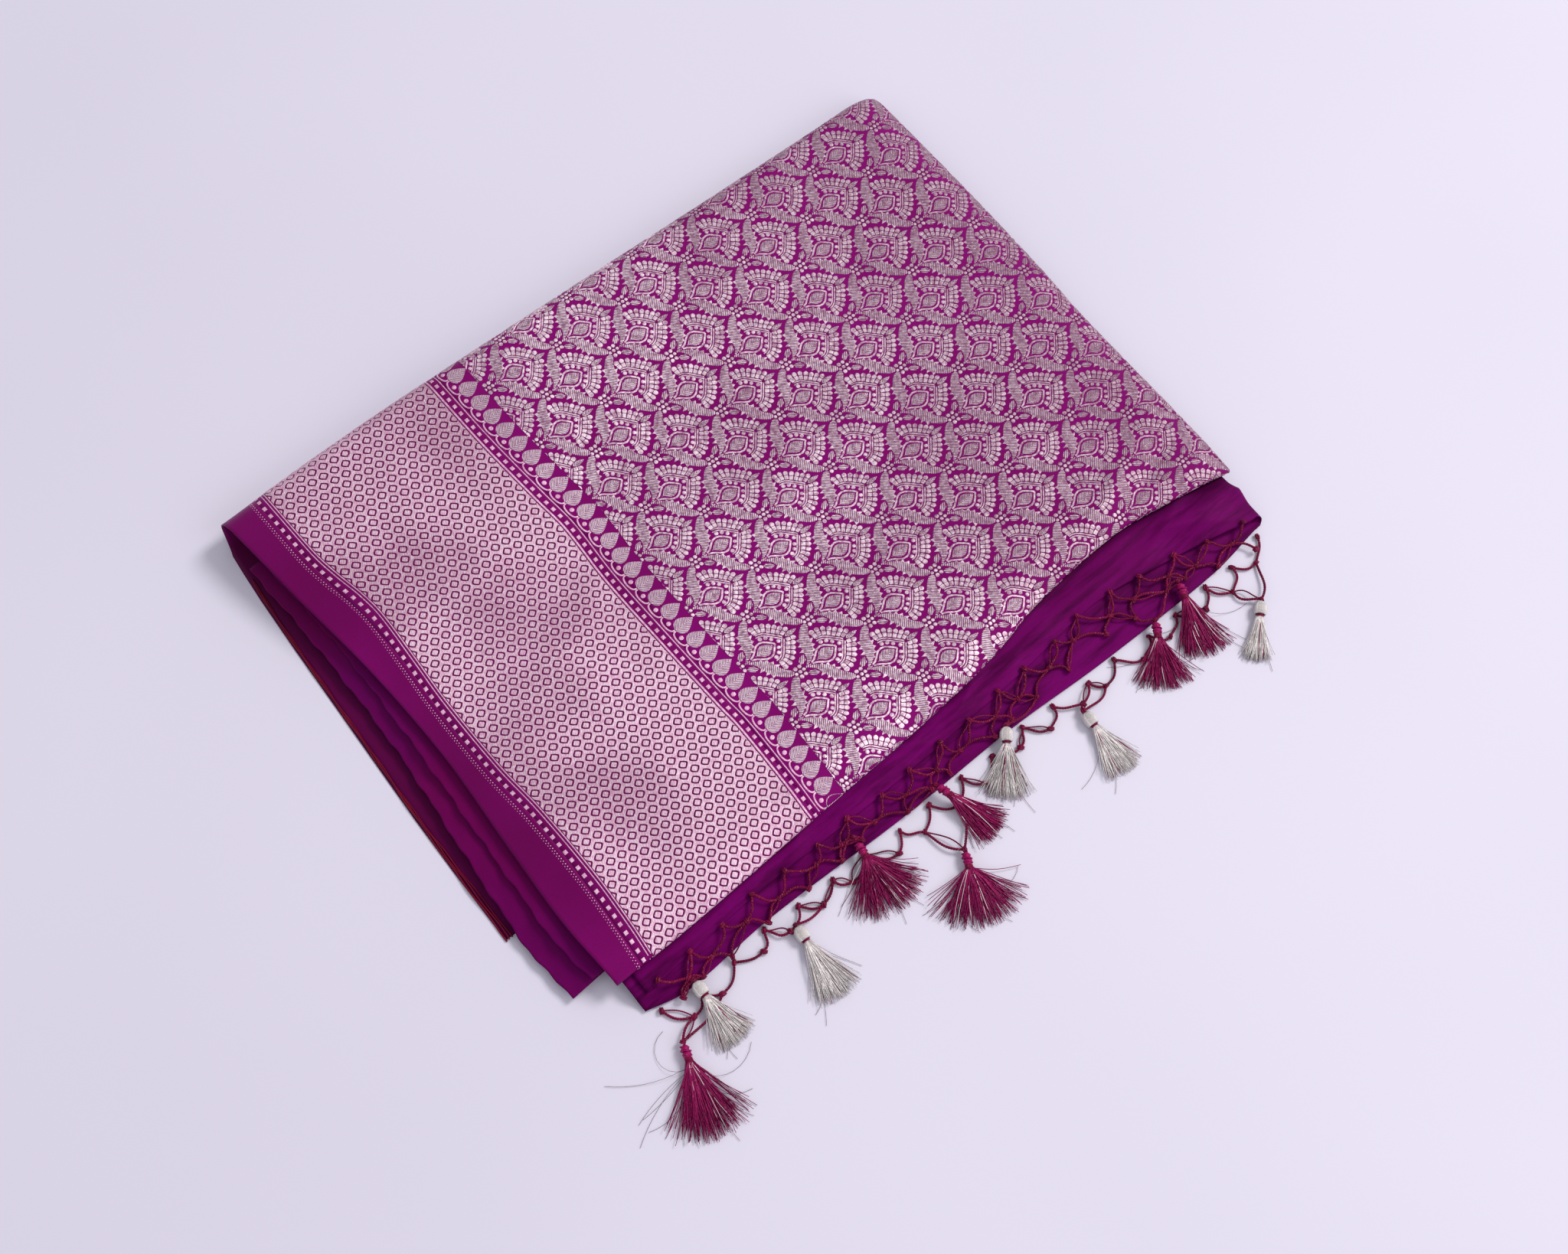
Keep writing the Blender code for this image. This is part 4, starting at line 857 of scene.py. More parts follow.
def motif():
    """One repeat: rosette, two buds, two serrated leaves and a fan palmette."""
    whole, half = Islands(), Islands()
    for disc in AXIS_DISCS:
        whole.disc(*disc)
    stem, core, tip = np.array(STEM_EDGE), curve(CORE_EDGE, 9), np.array(TIP_EDGE)
    whole.strip(stem, stem * OTHER_SIDE)
    whole.strip(core, core * OTHER_SIDE, rib=chevron_rib)
    whole.strip(tip, tip * OTHER_SIDE, rib=chevron_rib)
    for disc in SIDE_DISCS:
        half.disc(*disc)
    half.ribbon(curve(FIRST_ARCH, 10), 1.50)
    half.ribbon(curve(SECOND_ARCH, 9), 1.18, 0.84)
    half.ribbon(curve(SECOND_ARCH, 9), 1.10, -0.80)
    left, right = np.array(LEAF_LEFT), np.array(LEAF_RIGHT)
    half.strip(mix(left, right, 0.03), mix(right, left, 0.06), inset=0.35)
    for tooth in LEAF_TEETH:
        first, point, last = np.array(tooth)
        inward = ((first + last) / 2 - point) * 0.35
        half.pillow((first + inward, point, last + inward), inset=0.35, high=RAISED - 0.04)
    half.pillow(BUD, inset=0.45, rib=falling_rib)
    for number, (inner, outer) in enumerate(np.array(PETALS)):
        way = (outer - inner) / np.linalg.norm(outer - inner)
        side = np.array((-way[1], way[0])) * (1.16 if number == 0 else 1.0)
        for centre, outline in ((inner, PETAL_BLOCK), (outer, PETAL_LOBE)):
            half.pillow([centre + way * on + side * aside for on, aside in outline], inset=0.22)
    both = half.mirrored()
    whole.join(both.points, both.faces, both.ribs)
    return whole


def motif_ground():
    """A darker ground under the fan and rosette: painted shade in the narrow gaps between shapes.
    """
    half = Islands()
    half.patch(FAN_OUTER, FAN_INNER)
    half.patch(ROSETTE_EDGE, np.array(ROSETTE_EDGE) * TO_AXIS)
    return half.mirrored()


# The border: its rows of squares in plan, and what lies between them

INNER_SQUARES = ((262, -103), (200, -102.5), (140, -99), (110, -96.8), (60, -99.8), (0, -99.8),
                 (-60, -99), (-80, -98.3), (-120, -100), (-150, -101.8), (-168, -102.4))
OUTER_SQUARES = ((262, -251), (220, -250), (200, -249), (180, -246), (160, -242), (140, -240),
                 (100, -241.7), (60, -244), (0, -244), (-40, -241.4), (-100, -241), (-140, -243.5),
                 (-165, -246))
INNER, OUTER = 0.0, 1000.0  # u of the two rows of squares, far apart so that shapes can be told
FIELD_CUT = 24.4
CELL = REPEAT[1] / 8
FIRST_ROW, LAST_ROW = -62, 22
NET_COLUMNS = 16
ROW_LEAF_EDGE = ((9.2, 0.2), (10.0, 3.0), (11.8, 5.2), (14.0, 6.2), (16.8, 5.7), (19.4, 4.2),
                 (21.8, 2.4), (24.3, 0.1))


def around(upper, reach):
    """A closed outline about a centre, from its upper half and its reach to either side."""
    return [*upper, (-reach, 0.0), *((-u, -v) for u, v in upper), (reach, 0.0)]


# One cell of the border's net, in half cells across and cells along
NET_CORNERS = around(((1.0, 0.313), (0.5, 0.5), (0.0, 0.687), (-0.5, 0.5), (-1.0, 0.313)), 1.0)
NET_HOLE = around(((0.78, 0.11), (0.50, 0.30), (0.0, 0.510), (-0.50, 0.30), (-0.78, 0.11)), 0.85)
NET_MIDDLE = around(((0.42, 0.07), (0.24, 0.18), (0.05, 0.28), (-0.05, 0.28), (-0.24, 0.18),
                     (-0.42, 0.07)), 0.47)


def finish_islands(name, x, y, lift, faces, ribs, material, low, high):
    """Clamps shapes to the cloth, drops what is wholly outside, and lays them on the fold."""
    px = fold_core(np.clip(x, -300, 300), np.clip(y, -160, 255))[..., 0]
    y_low = along(FRONT_EDGE_LINE, px) + NOSE - NOSE * math.pi * 0.92
    y_high = along(BACK_FOLD_LINE, px) - BACK_FOLD_DEPTH + 40.0
    outside = (x < low) | (x > high) | (y < y_low) | (y > y_high)
    x = np.clip(x, low, high)
    y = np.clip(y, y_low, y_high)
    kept = [face for face in faces if not all(outside[i] for i in face)]
    used = np.zeros(len(x), dtype=bool)
    for face in kept:
        used[list(face)] = True
    index = np.cumsum(used) - 1
    kept = [tuple(index[i] for i in face) for face in kept]
    return make(name, fold(x[used], y[used], lift[used]), kept, material, ribs[used], smooth=False)


def facing_up(faces, first=0):
    """Pattern faces turned over, since plan y falls as v rises."""
    return [tuple(first + i for i in reversed(face)) for face in faces]


def tiled(points, faces, places):
    """Copies of a shape at places in the pattern: u, v, lift, and faces that face up."""
    points, places = np.array(points), np.array(places)
    u = (points[None, :, 0] + places[:, None, 0]).ravel()
    v = (points[None, :, 1] + places[:, None, 1]).ravel()
    copies = []
    for k in range(len(places)):
        copies += facing_up(faces, k * len(points))
    return u, v, np.tile(points[:, 2], len(places)), copies


def field_pattern(shapes, prefix, material):
    """A repeat's shapes at every place in the field, as a left and a right piece."""
    cells = []
    for i in range(-6, 12):
        for j in range(-16, 8):
            u, v = REPEAT[0] / 2 * i, REPEAT[1] / 2 * j
            x, y = on_cloth(u + 27.0, v)
            if (i + j) % 2 == 0 and -112 < x < 345 and -190 < y < 330:
                cells.append((u, v, x))
    made = []
    for side, chosen in (("_left", [c for c in cells if c[2] < 95.0]),
                         ("_right", [c for c in cells if c[2] >= 95.0])):
        u, v, lift, faces = tiled(shapes.points, shapes.faces, chosen)
        ribs = np.tile(np.array(shapes.ribs), (len(chosen), 1))
        x, y = on_cloth(u, v)
        low, high = along(INNER_SQUARES, y) + FIELD_CUT, fold_reach(y) - 0.6
        piece = finish_islands(prefix + side, x, y, lift, faces, ribs, material, low, high)
        made.append(piece)
    return made


def border_shapes():
    """Rows of squares, fine lines, scallops with beads, and the row of leaves."""
    shapes, leaves = Islands(), Islands()
    for row in range(FIRST_ROW, LAST_ROW):
        for base in (INNER, OUTER):
            shapes.square(base, row * CELL - 2.7, 1.35, 1.5, inset=0.35)
    for row in range(FIRST_ROW * 3, LAST_ROW * 3):
        for offset, size, start in ((-5.9, 0.30, 0.0), (-4.5, 0.38, 1.1)):
            v = row * CELL / 3.0 + start
            shapes.square(OUTER + offset, v, size, size, inset=0.15, high=0.12)
    at = np.arange(FIRST_ROW - 0.5, LAST_ROW - 0.4, 0.5) * CELL
    for base, offset, width in ((INNER, -3.4, 1.5), (INNER, 3.5, 0.95), (OUTER, 3.9, 0.8),
                                (OUTER, 6.0, 0.95)):
        shapes.ribbon(np.stack([np.full_like(at, base + offset), at], axis=1), width)
    leaf = curve(ROW_LEAF_EDGE, 10)
    for row in range(FIRST_ROW // 2, LAST_ROW // 2 + 1):
        v = row * CELL * 2 + 5.6
        centre = np.array((0.0, v))

        def leaf_rib(u, w, v=v):
            return chevron_rib(u, w - v)

        leaves.strip(leaf + centre, leaf * OTHER_SIDE + centre, inset=0.35, rib=leaf_rib)
        arch = []
        for step in range(11):
            turn = math.pi * step / 10
            arch.append((9.1 - 3.6 * math.sin(turn) ** 0.7, v + CELL - 6.4 * math.cos(turn)))
        shapes.ribbon(arch, 1.3)
        shapes.disc(8.9, v + CELL, 1.8)
    return shapes, leaves


def border_pattern(shapes, name, material):
    """Lays shapes of the border along the two rows of squares that they belong to."""
    points = np.array(shapes.points)
    outer = points[:, 0] > OUTER / 2
    y = lengthwise(points[:, 1], np.where(outer, -244.0, -90.0))
    outer_x, inner_x = along(OUTER_SQUARES, y), along(INNER_SQUARES, y)
    x = np.where(outer, outer_x, inner_x) + np.where(outer, points[:, 0] - OUTER, points[:, 0])
    low = np.where(outer, -275.0, outer_x + 9.0)
    high = np.where(outer, inner_x - 6.0, inner_x + FIELD_CUT + 1.0)
    piece = finish_islands(name, x, y, points[:, 2], facing_up(shapes.faces),
                           np.array(shapes.ribs), material, low, high)
    return piece


def net_cell():
    """One cell of the net about its centre, in cells: the net round its hole, and the middle."""
    ridge = [(mix(a, c, 0.45), mix(b, d, 0.45)) for (a, b), (c, d) in zip(NET_CORNERS, NET_HOLE)]
    points = []
    for outline, scale, lift in (
        (NET_CORNERS, 1.0, 0.20), (ridge, 1.0, 0.30), (NET_HOLE, 1.0, 0.20), (NET_HOLE, 0.95, SUNK),
        (NET_MIDDLE, 1.20, SUNK), (NET_MIDDLE, 1.05, 0.24),
    ):
        points += [(u * 0.5 * scale, v * scale, lift) for u, v in outline]
    points.append((0.0, 0.0, 0.34))
    sides, count = len(NET_CORNERS), len(NET_MIDDLE)
    faces = [face for ring in range(3) for face in ring_faces(ring * sides, sides)]
    first = 4 * sides
    for i, face in enumerate(ring_faces(first, count)):
        faces.append(face)
        faces.append((first + count + i, first + count + (i + 1) % count, first + 2 * count))
    return points, faces


def over_border(share, v, outer_gap, inner_gap):
    """Plan places at shares of the way across the border, and how far the shapes may reach."""
    y = lengthwise(v, mix(-236.0, -104.0, share))
    low, high = along(OUTER_SQUARES, y) + outer_gap, along(INNER_SQUARES, y) - inner_gap
    x = mix(low, high, share)
    return x, lengthwise(v, x), low, high


def honeycomb():
    """The silver net of the border, with a dark diamond ring round each silver centre."""
    places = []
    for row in range(FIRST_ROW, LAST_ROW):
        for column in range(-1, NET_COLUMNS + 1):
            places.append((column + (0.5 if row % 2 else 0.0), float(row)))
    u, v, lift, faces = tiled(*net_cell(), places)
    share = (u - 0.12) / (NET_COLUMNS - 0.5)
    v = v * CELL - 1.1
    x, y, low, high = over_border(share, v, 7.0, 4.9)
    u = share * 130.0
    ribs = np.stack([(u + v) / (RIB * 1.1), (u - v) / (RIB * 1.1)], axis=1)
    net = finish_islands("border_net", x, y, lift, faces, ribs, BORDER_ZARI, low, high)

    at = np.arange(FIRST_ROW - 0.5, LAST_ROW - 0.1, 0.5) * CELL
    share, v = np.meshgrid(np.linspace(0.0, 1.0, 33), at)
    faces = grid_faces(*share.shape, flip=True)
    share, v = share.ravel(), v.ravel()
    x, y, low, high = over_border(share, v, 7.4, 5.3)
    under = finish_islands("border_ring_ground", x, y, np.full(len(x), 0.07), faces,
                           np.stack([share, v / 100.0], axis=1), RING_GROUND, low, high)
    return [net, under]


field_pieces = field_pattern(motif(), "field_pattern", FIELD_ZARI)
field_pieces += field_pattern(motif_ground(), "field_gap_shade", SHADOW_GROUND)
row_shapes, leaf_shapes = border_shapes()
border_rows = border_pattern(row_shapes, "border_rows", LINE_ZARI)
border_leaves = border_pattern(leaf_shapes, "border_leaves", LEAF_ZARI)
border_net = honeycomb()


# Inner layers at the open side, and the folded layers within

def inner_layer(name, node_name, edge_line, layer):
    """The free edge of one inner layer, from its tucked root out to its rippled edge."""
    rows, columns = 130, 22
    y = np.linspace(layer["front"], layer["back"], rows + 1)[:, None]
    share = np.linspace(0.0, 1.0, columns + 1)[None, :]
    edge = along(edge_line, y)
    root_x = along(SELVEDGE_LINE, y) + layer["tuck"]
    x = mix(root_x, edge + 0.5 * np.sin(y / 7.0) + 0.4 * np.sin(y / 2.9), share)
    free = ease((root_x - 6.0 - x) / 24.0)
    wave = layer["ripple"] * np.sin(y / 31.0 + layer["height"]) * free
    crinkle = free * 0.35 * (np.sin(y / 9.0 + x / 5.0) + 0.6 * np.sin(y / 4.1 - x / 3.0))
    z = layer["height"] - layer["droop"] * free + wave + crinkle
    points = np.stack(np.broadcast_arrays(x, y, z), axis=-1)
    piece = shell(name, points, PAINTED_SHADE_PURPLE, thickness=0.6)
    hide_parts(node_name)


def square_loop(per_side, corner):
    """A unit square's outline, with its corners cut a little."""
    loop = []
    sides = (((0, 0), (1, 0)), ((1, 0), (1, 1)), ((1, 1), (0, 1)), ((0, 1), (0, 0)))
    for (ax, ay), (bx, by) in sides:
        for step in range(per_side + 1):
            share = mix(corner, 1.0 - corner, step / per_side)
            loop.append((mix(ax, bx, share), mix(ay, by, share)))
        cut = corner * 0.29
        loop.append((mix(bx, 0.5, 2 * cut), mix(by, 0.5, 2 * cut)))
    return loop


def core_top(x, y):
    """Height of the stack just under the outermost fold."""
    to_fold = (x - (along(WIDTH_FOLD_LINE, y) - WIDTH_FOLD_REACH)) / WIDTH_FOLD_REACH
    height = top_height(x, y)
    drop = 1.0 - np.sqrt(np.maximum(1.0 - np.clip(to_fold, 0.0, 1.0) ** 2, 0.0))
    height = mix(height, np.minimum(height, WIDTH_FOLD_END_HEIGHT), drop)
    return height - WALL - CORE_SLACK


def folded_layers():
    """The many layers between, as one stack whose folds and edges show in the side faces."""
    a, b = np.array(square_loop(46, CORE_CORNER)).T
    rings = np.array(CORE_RINGS)
    levels = []
    for low, high in zip(rings, rings[1:]):
        rise = (high[0] - low[0]) + (high[1] - low[1]) * CORE_TOP_RISE
        count = max(1, int(round(rise / CORE_LEVEL_STEP)))
        levels += [mix(low, high, step / count).tolist() for step in range(count)]
    levels.append(CORE_RINGS[-1])
    y_guess = mix(-150.0, 255.0, b)
    grid = []
    for z, share, left, front, right, back in levels:
        layer = (z + share * CORE_TOP_RISE) / CORE_LAYER_RISE
        number = math.floor(layer)
        fold_in = 1.25 * (abs(2.0 * (layer - number) - 1.0) ** 2.2)
        uneven = 0.45 * math.sin(number * 12.9) + 0.25 * np.sin(y_guess / 23.0 + number * 2.1)
        inset = np.maximum(fold_in + uneven, 0.0)
        left_x = along(SELVEDGE_LINE, y_guess) + left + inset
        x = mix(left_x, along(WIDTH_FOLD_LINE, y_guess) - right - inset, a)
        front_y = along(FRONT_EDGE_LINE, x) + front + inset
        back_y = along(BACK_FOLD_LINE, x) - APEX_CUT * ease((x - 270.0) / 30.0) - back
        y = mix(front_y, back_y, b)
        grid.append(np.stack([x, y, mix(z, core_top(x, y), share)], axis=-1))
    count = len(a)
    points = [tuple(p) for ring in grid for p in ring]
    faces = [tuple(range(count - 1, -1, -1))]
    for level in range(len(grid) - 1):
        faces += ring_faces(level * count, count)
    centre = grid[-1].mean(axis=0)
    for scale in (0.86, 0.6, 0.3):
        ring = centre + (grid[-1] - centre) * scale
        ring[:, 2] = core_top(ring[:, 0], ring[:, 1])
        faces += ring_faces(len(points) - count, count)
        points += [tuple(p) for p in ring]
    first, last = len(points) - count, len(points)
    points.append((centre[0], centre[1], float(core_top(centre[0], centre[1]))))
    faces += [(first + i, first + (i + 1) % count, last) for i in range(count)]
    piece = make("folded_layers", points, faces, PAINTED_SHADE_PURPLE)
    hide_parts("hidden_layers")


folded_layers()
inner_layer("middle_fold", "middle_layer", MIDDLE_EDGE_LINE, MIDDLE_LAYER)
inner_layer("second_fold", "second_layer", SECOND_EDGE_LINE, SECOND_LAYER)


# Plain end piece

def lower_end_height(x, y):
    """Height of the end piece's lower layer, which falls from its root to the floor."""
    front = along(FRONT_EDGE_LINE, x)
    hem = along(LOWER_HEM_LINE, x)
    out = (front - 1.0 - y) / (front - 1.0 - hem)
    wave = 0.7 * np.sin(x / 17.0) + 0.5 * np.sin(x / 7.3 + y / 9.0)
    settled = 1.3 + 0.35 * (1.0 + np.sin(x / 23.0))
    rippled = wave * 1.4 * ease(out * 2.0) * (1.0 - ease(out))
    return mix(END_PIECE_ROOT_HEIGHT, settled, ease(out * 1.02)) + rippled


def upper_end_height(x, y):
    """Height of the end piece's upper layer, puffed towards the right."""
    front = along(FRONT_EDGE_LINE, x)
    out = ease((front - 2.0 - y) / 14.0)
    puff = 3.2 * ease((x - 195.0) / 55.0) * out
    swell = (0.5 + 0.5 * np.sin(x / 13.0 + 1.2)) * out * 0.8
    return lower_end_height(x, y) + LAYER_STEP + puff + swell


def end_wrinkles(x, y, share):
    """Height of the slanted pleats and puckers on the end piece's upper layer."""
    high = 0.40 * np.sin(y / 2.4 + 1.3 * np.sin(x / 37.0)) * np.sin(x / 29.0 + 0.7)
    pleat = 1.0 - np.abs(np.sin((y + 0.42 * x) / 8.0 + 1.2 * np.sin(x / 41.0))) ** 0.8
    high += 2.2 * pleat * (0.55 + 0.45 * np.sin(x / 44.0 + 2.1))
    pucker = 1.0 - np.abs(np.sin((y - 0.6 * x) / 9.0 + 0.9 * np.sin(x / 33.0))) ** 0.8
    high += 1.5 * pucker * ease(np.sin(x / 27.0))
    return high * (ease(share * 2.5) * (1.0 - 0.6 * ease(share * 2.0 - 1.0)))


def end_piece():
    """The plain end, doubled: the lower layer to the right, round the fold, and back on top."""
    rows, columns, turn_steps = 34, 190, 12
    bend_step = np.arange(1, turn_steps) / turn_steps
    turn = np.radians(-90 + 180 * np.arange(1, turn_steps) / turn_steps)
    out = np.linspace(0.0, 1.0, rows + 1)
    grid = []
    for share in out:
        right = mix(END_PIECE_RIGHT_ROOT, END_PIECE_RIGHT_HEM, share)
        x = np.linspace(END_PIECE_LEFT_LOWER, right, columns + 1)
        y = mix(along(FRONT_EDGE_LINE, x) + END_PIECE_TUCK, along(LOWER_HEM_LINE, x), share)
        low = np.stack([x, y, lower_end_height(x, y)], axis=-1)
        x = np.linspace(right, END_PIECE_LEFT_UPPER, columns + 1)
        y = mix(along(FRONT_EDGE_LINE, x) + END_PIECE_TUCK, along(UPPER_HEM_LINE, x), share)
        z = upper_end_height(x, y) + end_wrinkles(x, y, share) + CLEARANCE
        high = np.stack([x, y, z], axis=-1)
        radius = (high[0, 2] - low[-1, 2]) / 2
        bend = np.stack([right + max(radius, 1.6) * np.cos(turn),
                         mix(low[-1, 1], high[0, 1], bend_step),
                         (low[-1, 2] + high[0, 2]) / 2 + radius * np.sin(turn)], axis=-1)
        grid.append(np.concatenate([low, bend, high]))
    grid = np.stack(grid)
    from_root = np.repeat(out[:, None], grid.shape[1], axis=1)
    piece = shell("plain_end", grid, END_SILK, thickness=0.5,
                  coordinates=np.stack([from_root, grid[..., 0] * 0.01], axis=-1))
    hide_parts("end_piece")
    return piece


end = end_piece()


# Knotted nets and tassels

UP = np.array((0.0, 0.0, 1.0))


def cloth_under(x, y):
    """Height of the end piece at a place, or of the floor beside it."""
    for left, hem_line, height in ((END_PIECE_LEFT_UPPER, UPPER_HEM_LINE, upper_end_height),
                                   (END_PIECE_LEFT_LOWER, LOWER_HEM_LINE, lower_end_height)):
        if left < x < END_PIECE_RIGHT_HEM + 4.0 and y > along(hem_line, x):
            return float(height(x, y)) + WALL / 2
    return 0.0


def cloth_around(x, y):
    """The highest cloth within the reach of a cord."""
    steps = (-NET_REACH, 0.0, NET_REACH)
    return max(cloth_under(x + dx, y + dy) for dx in steps for dy in steps)


def ahead_of(turn):
    return np.array((math.cos(turn), math.sin(turn), 0.0))


def aside_of(turn):
    return np.array((-math.sin(turn), math.cos(turn), 0.0))


def round_about(steps, place):
    """A closed path of the places that a function gives for even turns."""
    return [place(2 * math.pi * step / steps) for step in range(steps + 1)]


def knot_of(spec):
    """Where a tassel hangs from its net, and the way that it points."""
    turn = math.radians(spec["heading"])
    x = spec["x"] - ROOT_GAP * math.cos(turn)
    return x, spec["y"] - ROOT_GAP * math.sin(turn), turn


def net_graph(net, hem_line, roots):
    """Knots in staggered rows along a hem and at the tassels, and the pairs that cords join."""
    start, stop, rows = net["start"], net["stop"], net["rows"]
    count = int(round((stop - start) / NET_PITCH))
    knots, cords, index = [], [], {}
    for row in range(rows + 1):
        half = 0.5 * (row % 2)
        for column in range(count + 1 - row % 2):
            x = start + (column + half) * (stop - start) / count
            y = float(along(hem_line, x)) - net["drop"] * row
            x += 2.2 * math.sin(3.1 * column + 1.7 * row)
            y += 1.3 * math.sin(2.3 * column + 2.9 * row + 0.6)
            if row > 0:
                nearest = min(roots, key=lambda root: math.hypot(root[0] - x, root[1] - y))
                distance = math.hypot(nearest[0] - x, nearest[1] - y)
                pull = NET_PULLS[row - 1] * math.exp(-(distance / 42.0) ** 2)
                x, y = mix(x, nearest[0], pull), mix(y, nearest[1], pull)
            index[(row, column)] = len(knots)
            knots.append((x, y))
            if row > 0:
                above = (column, column + 1) if row % 2 else (column - 1, column)
                for other in above:
                    if (row - 1, other) in index:
                        cords.append((index[(row - 1, other)], index[(row, column)]))
    last = [key for key in index if key[0] == rows]
    for root in roots:

        def way_back(key):
            dx, dy = knots[index[key]][0] - root[0], knots[index[key]][1] - root[1]
            ahead = dx * math.cos(root[2]) + dy * math.sin(root[2])
            return math.hypot(dx, dy) + 3.0 * max(ahead + 3.0, 0.0)

        near = sorted(last, key=way_back)
        place = len(knots)
        knots.append(root[:2])
        for key in near[:2]:
            cords.append((index[key], place))
    return knots, cords


def raised_to_roots(height, x, y, tassels):
    """A height of the net, raised near each tassel to meet its head."""
    for spec in tassels:
        knot_x, knot_y, _ = knot_of(spec)
        share = float(ease(1.0 - math.hypot(knot_x - x, knot_y - y) / ROOT_RISE_REACH))
        goal = spec["z"] - CLEARANCE - NET_CORD_HALF_HEIGHT
        height = max(height, mix(height, goal, share))
    return height


def head_start(spec, knots, cords):
    """How far from its place a tassel's head begins, so that it clears the cords of the net."""
    knot_x, knot_y, turn = knot_of(spec)
    marks = []
    for a, b in cords:
        for step in range(13):
            share = step / 12
            marks.append([mix(knots[a][axis], knots[b][axis], share) for axis in (0, 1)])
    start = 1.9
    blocked = True
    while blocked and start < 12.0:
        start += 0.1
        blocked = False
        for x, y in marks:
            forward = (x - knot_x) * math.cos(turn) + (y - knot_y) * math.sin(turn) - start
            aside = (y - knot_y) * math.cos(turn) - (x - knot_x) * math.sin(turn)
            for out, reach in HEAD_DISCS:
                if math.hypot(forward - out, aside) < reach + NET_CORD_HALF_WIDTH + CLEARANCE:
                    blocked = True
    return start - ROOT_GAP


class Threads:
    """Thin tubes gathered into one mesh. The second map coordinate tells threads apart."""

    def __init__(self):
        self.points = []
        self.faces = []
        self.maps = []
        self.count = 0

    def mark(self, onward):
        self.maps.append((onward, (self.count % 97) / 97.0 + 0.003))

    def tube(self, path, radii, sides=3):
        path = np.asarray(path, dtype=float)
        radii = np.broadcast_to(np.asarray(radii, dtype=float), (len(path),))
        ahead = unit(np.gradient(path, axis=0))
        side = np.cross(ahead, UP)
        flat = np.linalg.norm(side, axis=1, keepdims=True)
        side = np.where(flat > 1e-3, unit(side), np.array((1.0, 0.0, 0.0)))
        rise = np.cross(side, ahead)
        first = len(self.points)
        for i in range(len(path)):
            for k in range(sides):
                turn = 2 * math.pi * k / sides
                offset = side[i] * math.cos(turn) + rise[i] * math.sin(turn)
                self.points.append(path[i] + offset * radii[i])
                self.mark(i / 4.0)
        for i in range(len(path) - 1):
            self.faces += ring_faces(first + i * sides, sides)
        self.faces.append(tuple(first + k for k in range(sides - 1, -1, -1)))
        last = first + (len(path) - 1) * sides
        self.faces.append(tuple(last + k for k in range(sides)))
        self.count += 1

    def ply(self, path, radius, start, pitch=3.4):
        """A cord of two plies wound round a path."""
        share = 0.58
        path = resample(path, 0.62)
        length = lengths(path)
        ahead = unit(np.gradient(path, axis=0))
        side = unit(np.cross(ahead, UP))
        rise = np.cross(side, ahead)
        for k in range(2):
            turn = 2 * math.pi * (length / pitch + k / 2) + start
            offset = side * np.cos(turn)[:, None] + rise * np.sin(turn)[:, None]
            self.tube(path + offset * radius * (1 - share), radius * share, sides=5)

    def ball(self, centre, size, turn):
        """A small knot: an uneven ball."""
        rings, sides = 5, 8
        centre = np.asarray(centre, dtype=float)
        first = len(self.points)
        for r in range(rings + 1):
            lat = math.pi * r / rings
            for k in range(sides):
                lon = 2 * math.pi * k / sides
                bulge = 1.0 + 0.10 * math.sin(3 * lon + 2.2 * r)
                x = size[0] * math.sin(lat) * math.cos(lon) * bulge
                y = size[1] * math.sin(lat) * math.sin(lon) * bulge
                z = size[2] * math.cos(lat)
                self.points.append(centre + (x * math.cos(turn) - y * math.sin(turn),
                                             x * math.sin(turn) + y * math.cos(turn), z))
                self.mark(lon)
        for r in range(rings):
            for k in range(sides):
                n = (k + 1) % sides
                a = first + r * sides
                self.faces.append((a + n, a + k, a + sides + k, a + sides + n))
        self.count += 1

    def piece(self, name, material):
        return make(name, np.array(self.points), self.faces, material, np.array(self.maps))


def resample(path, step):
    """A path with points at even steps."""
    path = np.asarray(path, dtype=float)
    length = lengths(path)
    at = np.linspace(0.0, length[-1], max(3, int(length[-1] / step) + 1))
    return np.stack([np.interp(at, length, path[:, k]) for k in range(3)], axis=1)


def lowest_edge():
    """The reddish edge threads of the lowest layer, bunched towards their loose end."""
    threads = Threads()
    stop, last = -90.0, 232.0
    rows = ((0.0, 0.9, 0.62), (1.2, 1.3, 0.45), (2.3, 1.0, 0.5))
    for number, (aside, rise, radius) in enumerate(rows):
        path = []
        for step in range(91):
            y = mix(last, stop, step / 90)
            spread = ease((40.0 - y) / 120.0)
            x = float(along(LOWEST_EDGE_LINE, y)) + 0.5 + aside * mix(0.4, 1.7, spread)
            x += 0.35 * math.sin(y / 6.0 + 2.0 * number)
            path.append((x, y, rise + 0.4 * math.sin(y / 11.0 + 1.3 * number)))
        threads.tube(path, radius, sides=6)
    piece = threads.piece("lowest_edge_threads", RED_EDGE)


lowest_edge()

CORD_RADIUS = 1.05
THIN_CORD_RADIUS = 0.62
MOST_BOW = 3.2
STRANDS = 245
THICK_STRANDS = 14
TONES = {
    "silver": {"threads": SILVER_THREADS, "odd_threads": MAROON_THREADS, "slot": "silver_thread",
               "laps": 2, "tie_back": 0.0, "fan": 1.18, "lengths": (0.85, 1.06), "bend": 0.06,
               "odd": 0.07, "strays": 2},
    "maroon": {"threads": MAROON_THREADS, "odd_threads": SILVER_THREADS, "slot": "maroon_cord",
               "laps": 4, "tie_back": 1.0, "fan": 1.28, "lengths": (0.78, 1.09), "bend": 0.09,
               "odd": 0.06, "strays": 6},
}


